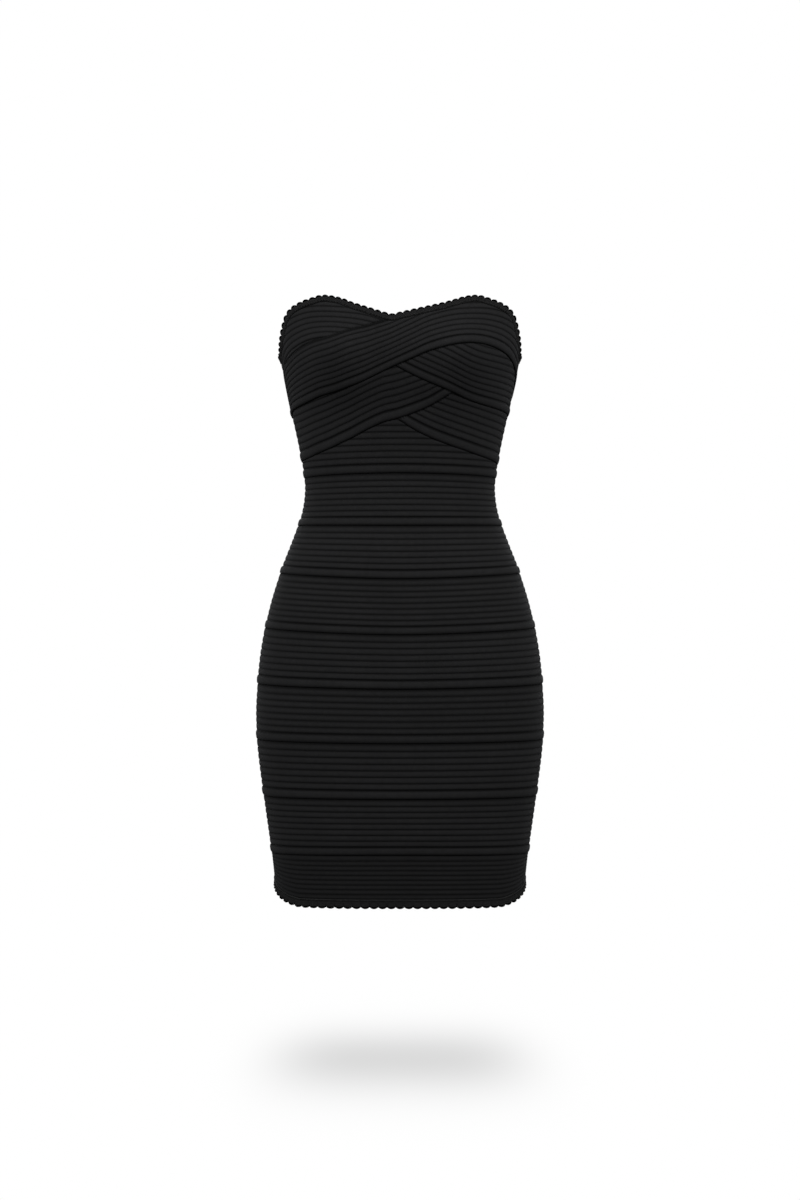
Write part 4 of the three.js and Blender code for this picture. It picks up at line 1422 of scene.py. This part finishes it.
@dataclass
class CentreZip:
    """The concealed zip at the centre back."""

    form: BodyForm
    tape: bpy.types.Material
    metal: bpy.types.Material
    end: float = BodyForm.ZIP_END
    half_gap: float = BodyForm.ZIP_HALF_GAP
    tape_top: float = -6.0
    tape_width: float = 12.0
    tape_outer: float = -0.6  # faces of the tape, over the form
    tape_inner: float = -1.6
    tape_columns: int = 8
    tape_rows: int = 120
    coil_top: float = -15.6
    coil_depth: float = -2.9
    coil_spacing: float = 1.25
    coil_length: float = 1.5  # of one turn along the zip
    coil_radius: float = 0.85
    coil_width: float = 2.1
    edge_radius: float = 0.16
    sharp_angle: float = 40.0
    weld: float = 0.01

    def dress(self, wardrobe: Wardrobe) -> None:
        """Builds and dresses the tapes and the coil, and finishes the slider and the pull tab."""
        for side in Side:
            name = f"zip_tape_{side.word}"
            low, high = sorted((side.value * self.half_gap, side.value * self.tape_width))
            piece = self.strip(f"woven_{name}", low, high)
            wardrobe.dress(piece, name, "zip_tape", flat=flat_size(piece))
        coil = self.coil()
        wardrobe.dress(coil, "zip_coil", "zip_tape")
        for node, body in (("zip_slider", ROOT), ("zip_pull_tab", PULL_BODY)):
            piece = self.rounded_copy(node)
            wardrobe.dress(piece, node, "zip_metal", body=body)

    def strip(self, name: str, near: float, far: float) -> bpy.types.Object:
        """Returns a tape inside the back, between two distances from its centre."""
        down = np.linspace(0, 1, self.tape_rows)[:, None]
        across = np.linspace(far, near, self.tape_columns + 1)[None, :]
        height = mix(self.tape_top, self.end, down) + 0 * across
        turn = 180 - across / self.form.girth_per_turn(180, height)
        rib = np.broadcast_to(down * (self.tape_top - self.end) / Cloth.pitch, height.shape)
        nothing = np.zeros_like(height)
        keep = np.arange(height.size).reshape(height.shape)
        grid = WallGrid(turn, height, rib, nothing, nothing, nothing + 1, nothing + self.tape_outer,
                        nothing + self.tape_inner, keep)
        piece = WallBuilder(self.form).build(name, grid)
        piece.data.materials.append(self.tape)
        piece.data.polygons.foreach_set("use_smooth", [True] * len(piece.data.polygons))
        return piece

    def coil(self) -> bpy.types.Object:
        """Returns the interlocked coil: a row of short yarn turns across the centre."""
        heights = np.arange(self.coil_top - 1.0, self.end + 1.0, -1.0)
        turn = np.full_like(heights, 180.0)
        path = self.form.point(turn, heights) + self.form.normal(turn, heights) * self.coil_depth
        curve = path_curve("zip_coil_turns", path)
        return yarn_row_tree().apply(curve, {
            "Spacing": self.coil_spacing * MM, "Stitch Length": self.coil_length * MM,
            "Stitch Radius": self.coil_radius * MM, "Stitch Width": self.coil_width * MM,
            "Lean": 0.0, "Material": self.tape,
        })

    def rounded_copy(self, node: str) -> bpy.types.Object:
        """Returns a copy of a CAD node with its sharp edges rounded."""
        piece = bpy.data.objects.new(f"lacquered_{node}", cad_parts[node].data.copy())
        bpy.context.scene.collection.objects.link(piece)
        weld = piece.modifiers.new("weld", "WELD")
        weld.merge_threshold = self.weld * MM
        bevel = piece.modifiers.new("bevel", "BEVEL")
        bevel.width = self.edge_radius * MM
        bevel.segments = 2
        bevel.limit_method = "ANGLE"
        graph = bpy.context.evaluated_depsgraph_get()
        mesh = bpy.data.meshes.new_from_object(piece.evaluated_get(graph))
        piece.modifiers.clear()
        piece.data = mesh
        mesh.materials.clear()
        mesh.materials.append(self.metal)
        mesh.polygons.foreach_set("use_smooth", [True] * len(mesh.polygons))
        mesh.set_sharp_from_angle(angle=math.radians(self.sharp_angle))
        return piece


@dataclass(frozen=True)
class FloorShadow:
    """The soft shadow on the studio floor, under the dress that hangs over it."""

    depth: float = 0.29  # share of the white that it takes at its centre
    bounce: float = 0.14  # the floor's light on the dress, next to what the camera sees
    half_width: float = 0.15
    half_length: float = 0.25
    behind: float = 0.045  # how far its centre lies behind the dress's centre

    def build(self) -> bpy.types.Material:
        """Returns the floor's material: white light with the shadow in it, and little bounce."""
        nodes = ShaderNodes("studio_white")
        nodes.tree.nodes.remove(nodes.shader)
        split = nodes.add("ShaderNodeSeparateXYZ")
        nodes.link(nodes.add("ShaderNodeTexCoord").outputs["Object"], split.inputs[0])
        across = nodes.maths("ABSOLUTE", nodes.maths("DIVIDE", split.outputs["X"], self.half_width))
        back = nodes.maths("SUBTRACT", split.outputs["Y"], self.behind)
        along = nodes.maths("ABSOLUTE", nodes.maths("DIVIDE", back, self.half_length))
        far = nodes.maths("ADD", nodes.maths("POWER", across, 4.0), nodes.maths("POWER", along, 2.0))
        fall = nodes.maths("EXPONENT", nodes.maths("MULTIPLY", far, -1.0))
        white = nodes.maths("SUBTRACT", 1.0, nodes.maths("MULTIPLY", fall, self.depth))
        seen = nodes.add("ShaderNodeLightPath").outputs["Is Camera Ray"]
        strength = nodes.maths("MULTIPLY", white, nodes.ramp(seen, self.bounce, 1.0))
        glow = nodes.add("ShaderNodeEmission")
        nodes.put(glow.inputs["Strength"], strength)
        output = next(node for node in nodes.tree.nodes if node.type == "OUTPUT_MATERIAL")
        nodes.link(glow.outputs[0], output.inputs["Surface"])
        return nodes.material


@dataclass
class Studio:
    """The white studio: floor, sky, soft lights and the camera at the photograph's angle."""

    distance: float = 3.6
    lens: float = 91.5
    eye_height: float = -0.2903
    floor_height: float = -0.839
    floor_size: float = 60.0
    aim_height: float = -0.25
    fill: float = 0.36  # the sky's light on the dress, next to the white that the camera sees

    def build(self) -> None:
        """Builds the floor, the lights, the sky and the camera."""
        self.floor()
        self.sky()
        self.light("key_high_front", (0.0, -2.8, 1.9), (1.8, 1.2), 92.0)
        self.light("soft_left", (2.3, -0.9, 0.8), (1.0, 2.0), 30.0)
        self.light("soft_right", (-2.3, -0.9, 0.8), (1.0, 2.0), 30.0)
        self.light("soft_back", (0.0, 2.6, 2.0), (2.4, 1.2), 80.0)
        self.camera()
        bpy.context.scene.view_settings.view_transform = "Standard"

    def floor(self) -> None:
        """Adds the plain white floor."""
        half = self.floor_size / 2
        z = self.floor_height
        mesh = bpy.data.meshes.new("studio_floor")
        mesh.from_pydata([(-half, -half, z), (half, -half, z), (half, half, z), (-half, half, z)],
                         [], [(0, 1, 2, 3)])
        mesh.materials.append(FloorShadow().build())
        floor = bpy.data.objects.new("studio_floor", mesh)
        bpy.context.scene.collection.objects.link(floor)

    def sky(self) -> None:
        """Sets a sky that is white to the camera and dimmer as light."""
        world = bpy.data.worlds.new("studio_sky")
        world.use_nodes = True
        nodes = Nodes(world.node_tree)
        background = world.node_tree.nodes["Background"]
        background.inputs["Color"].default_value = (1, 1, 1, 1)
        seen = nodes.add("ShaderNodeLightPath").outputs["Is Camera Ray"]
        share = nodes.maths("MULTIPLY", seen, 1.0 - self.fill)
        nodes.put(background.inputs["Strength"], nodes.maths("ADD", share, self.fill))
        bpy.context.scene.world = world

    def light(self, name: str, place: tuple[float, float, float], size: tuple[float, float],
              power: float) -> None:
        """Adds a soft rectangular light aimed at the dress."""
        data = bpy.data.lights.new(name, "AREA")
        data.shape = "RECTANGLE"
        data.size, data.size_y = size
        data.energy = power
        lamp = bpy.data.objects.new(name, data)
        lamp.location = place
        aim = Vector((0, 0, self.aim_height)) - Vector(place)
        lamp.rotation_euler = aim.to_track_quat("-Z", "Y").to_euler()
        lamp.visible_camera = False
        bpy.context.scene.collection.objects.link(lamp)

    def camera(self) -> None:
        """Adds the level camera."""
        data = bpy.data.cameras.new("camera")
        data.lens = self.lens
        camera = bpy.data.objects.new("camera", data)
        camera.location = (0, -self.distance, self.eye_height)
        camera.rotation_euler = (math.pi / 2, 0, 0)
        bpy.context.scene.collection.objects.link(camera)
        bpy.context.scene.camera = camera


def main() -> None:
    """Builds the studio and then the dress, piece by piece."""
    logging.basicConfig(level=logging.INFO, format="%(name)s: %(message)s")
    Studio().build()
    cloth = Cloth()
    form = BodyForm()
    edges = Edges(form, cloth)
    maker = PanelMaker(form, edges, cloth, KnitFinish().build())
    wardrobe = Wardrobe()
    Bodice(maker, edges, form).dress(wardrobe)
    BandStack(maker, edges, form).dress(wardrobe)
    neck_yarn = YarnFinish("neck_edging_yarn", light=(0.0105, 0.0105, 0.0108)).build()
    # painted shade: the hem's strip yarn is a darker copy of the neck's, for the dimmer light at the hem
    hem_shaded_yarn = YarnFinish("hem_edging_yarn", light=(0.006, 0.006, 0.0062)).build()
    cord_yarn = YarnFinish("edging_cord", dark=(0.0003,) * 3, light=(0.0012,) * 3, roughness=0.9,
                           specular=0.02, sheen=0.0).build()
    ScallopedTrims(form, edges, cloth, neck_yarn, hem_shaded_yarn, cord_yarn).dress(wardrobe)
    CentreZip(form, YarnFinish("zip_tape_weave", strand=0.35, depth=0.06).build(),
              LacquerFinish().build()).dress(wardrobe)
    log.info("%d pieces, %d triangles", wardrobe.count, wardrobe.triangles)
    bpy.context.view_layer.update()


if __name__ == "__main__":
    main()
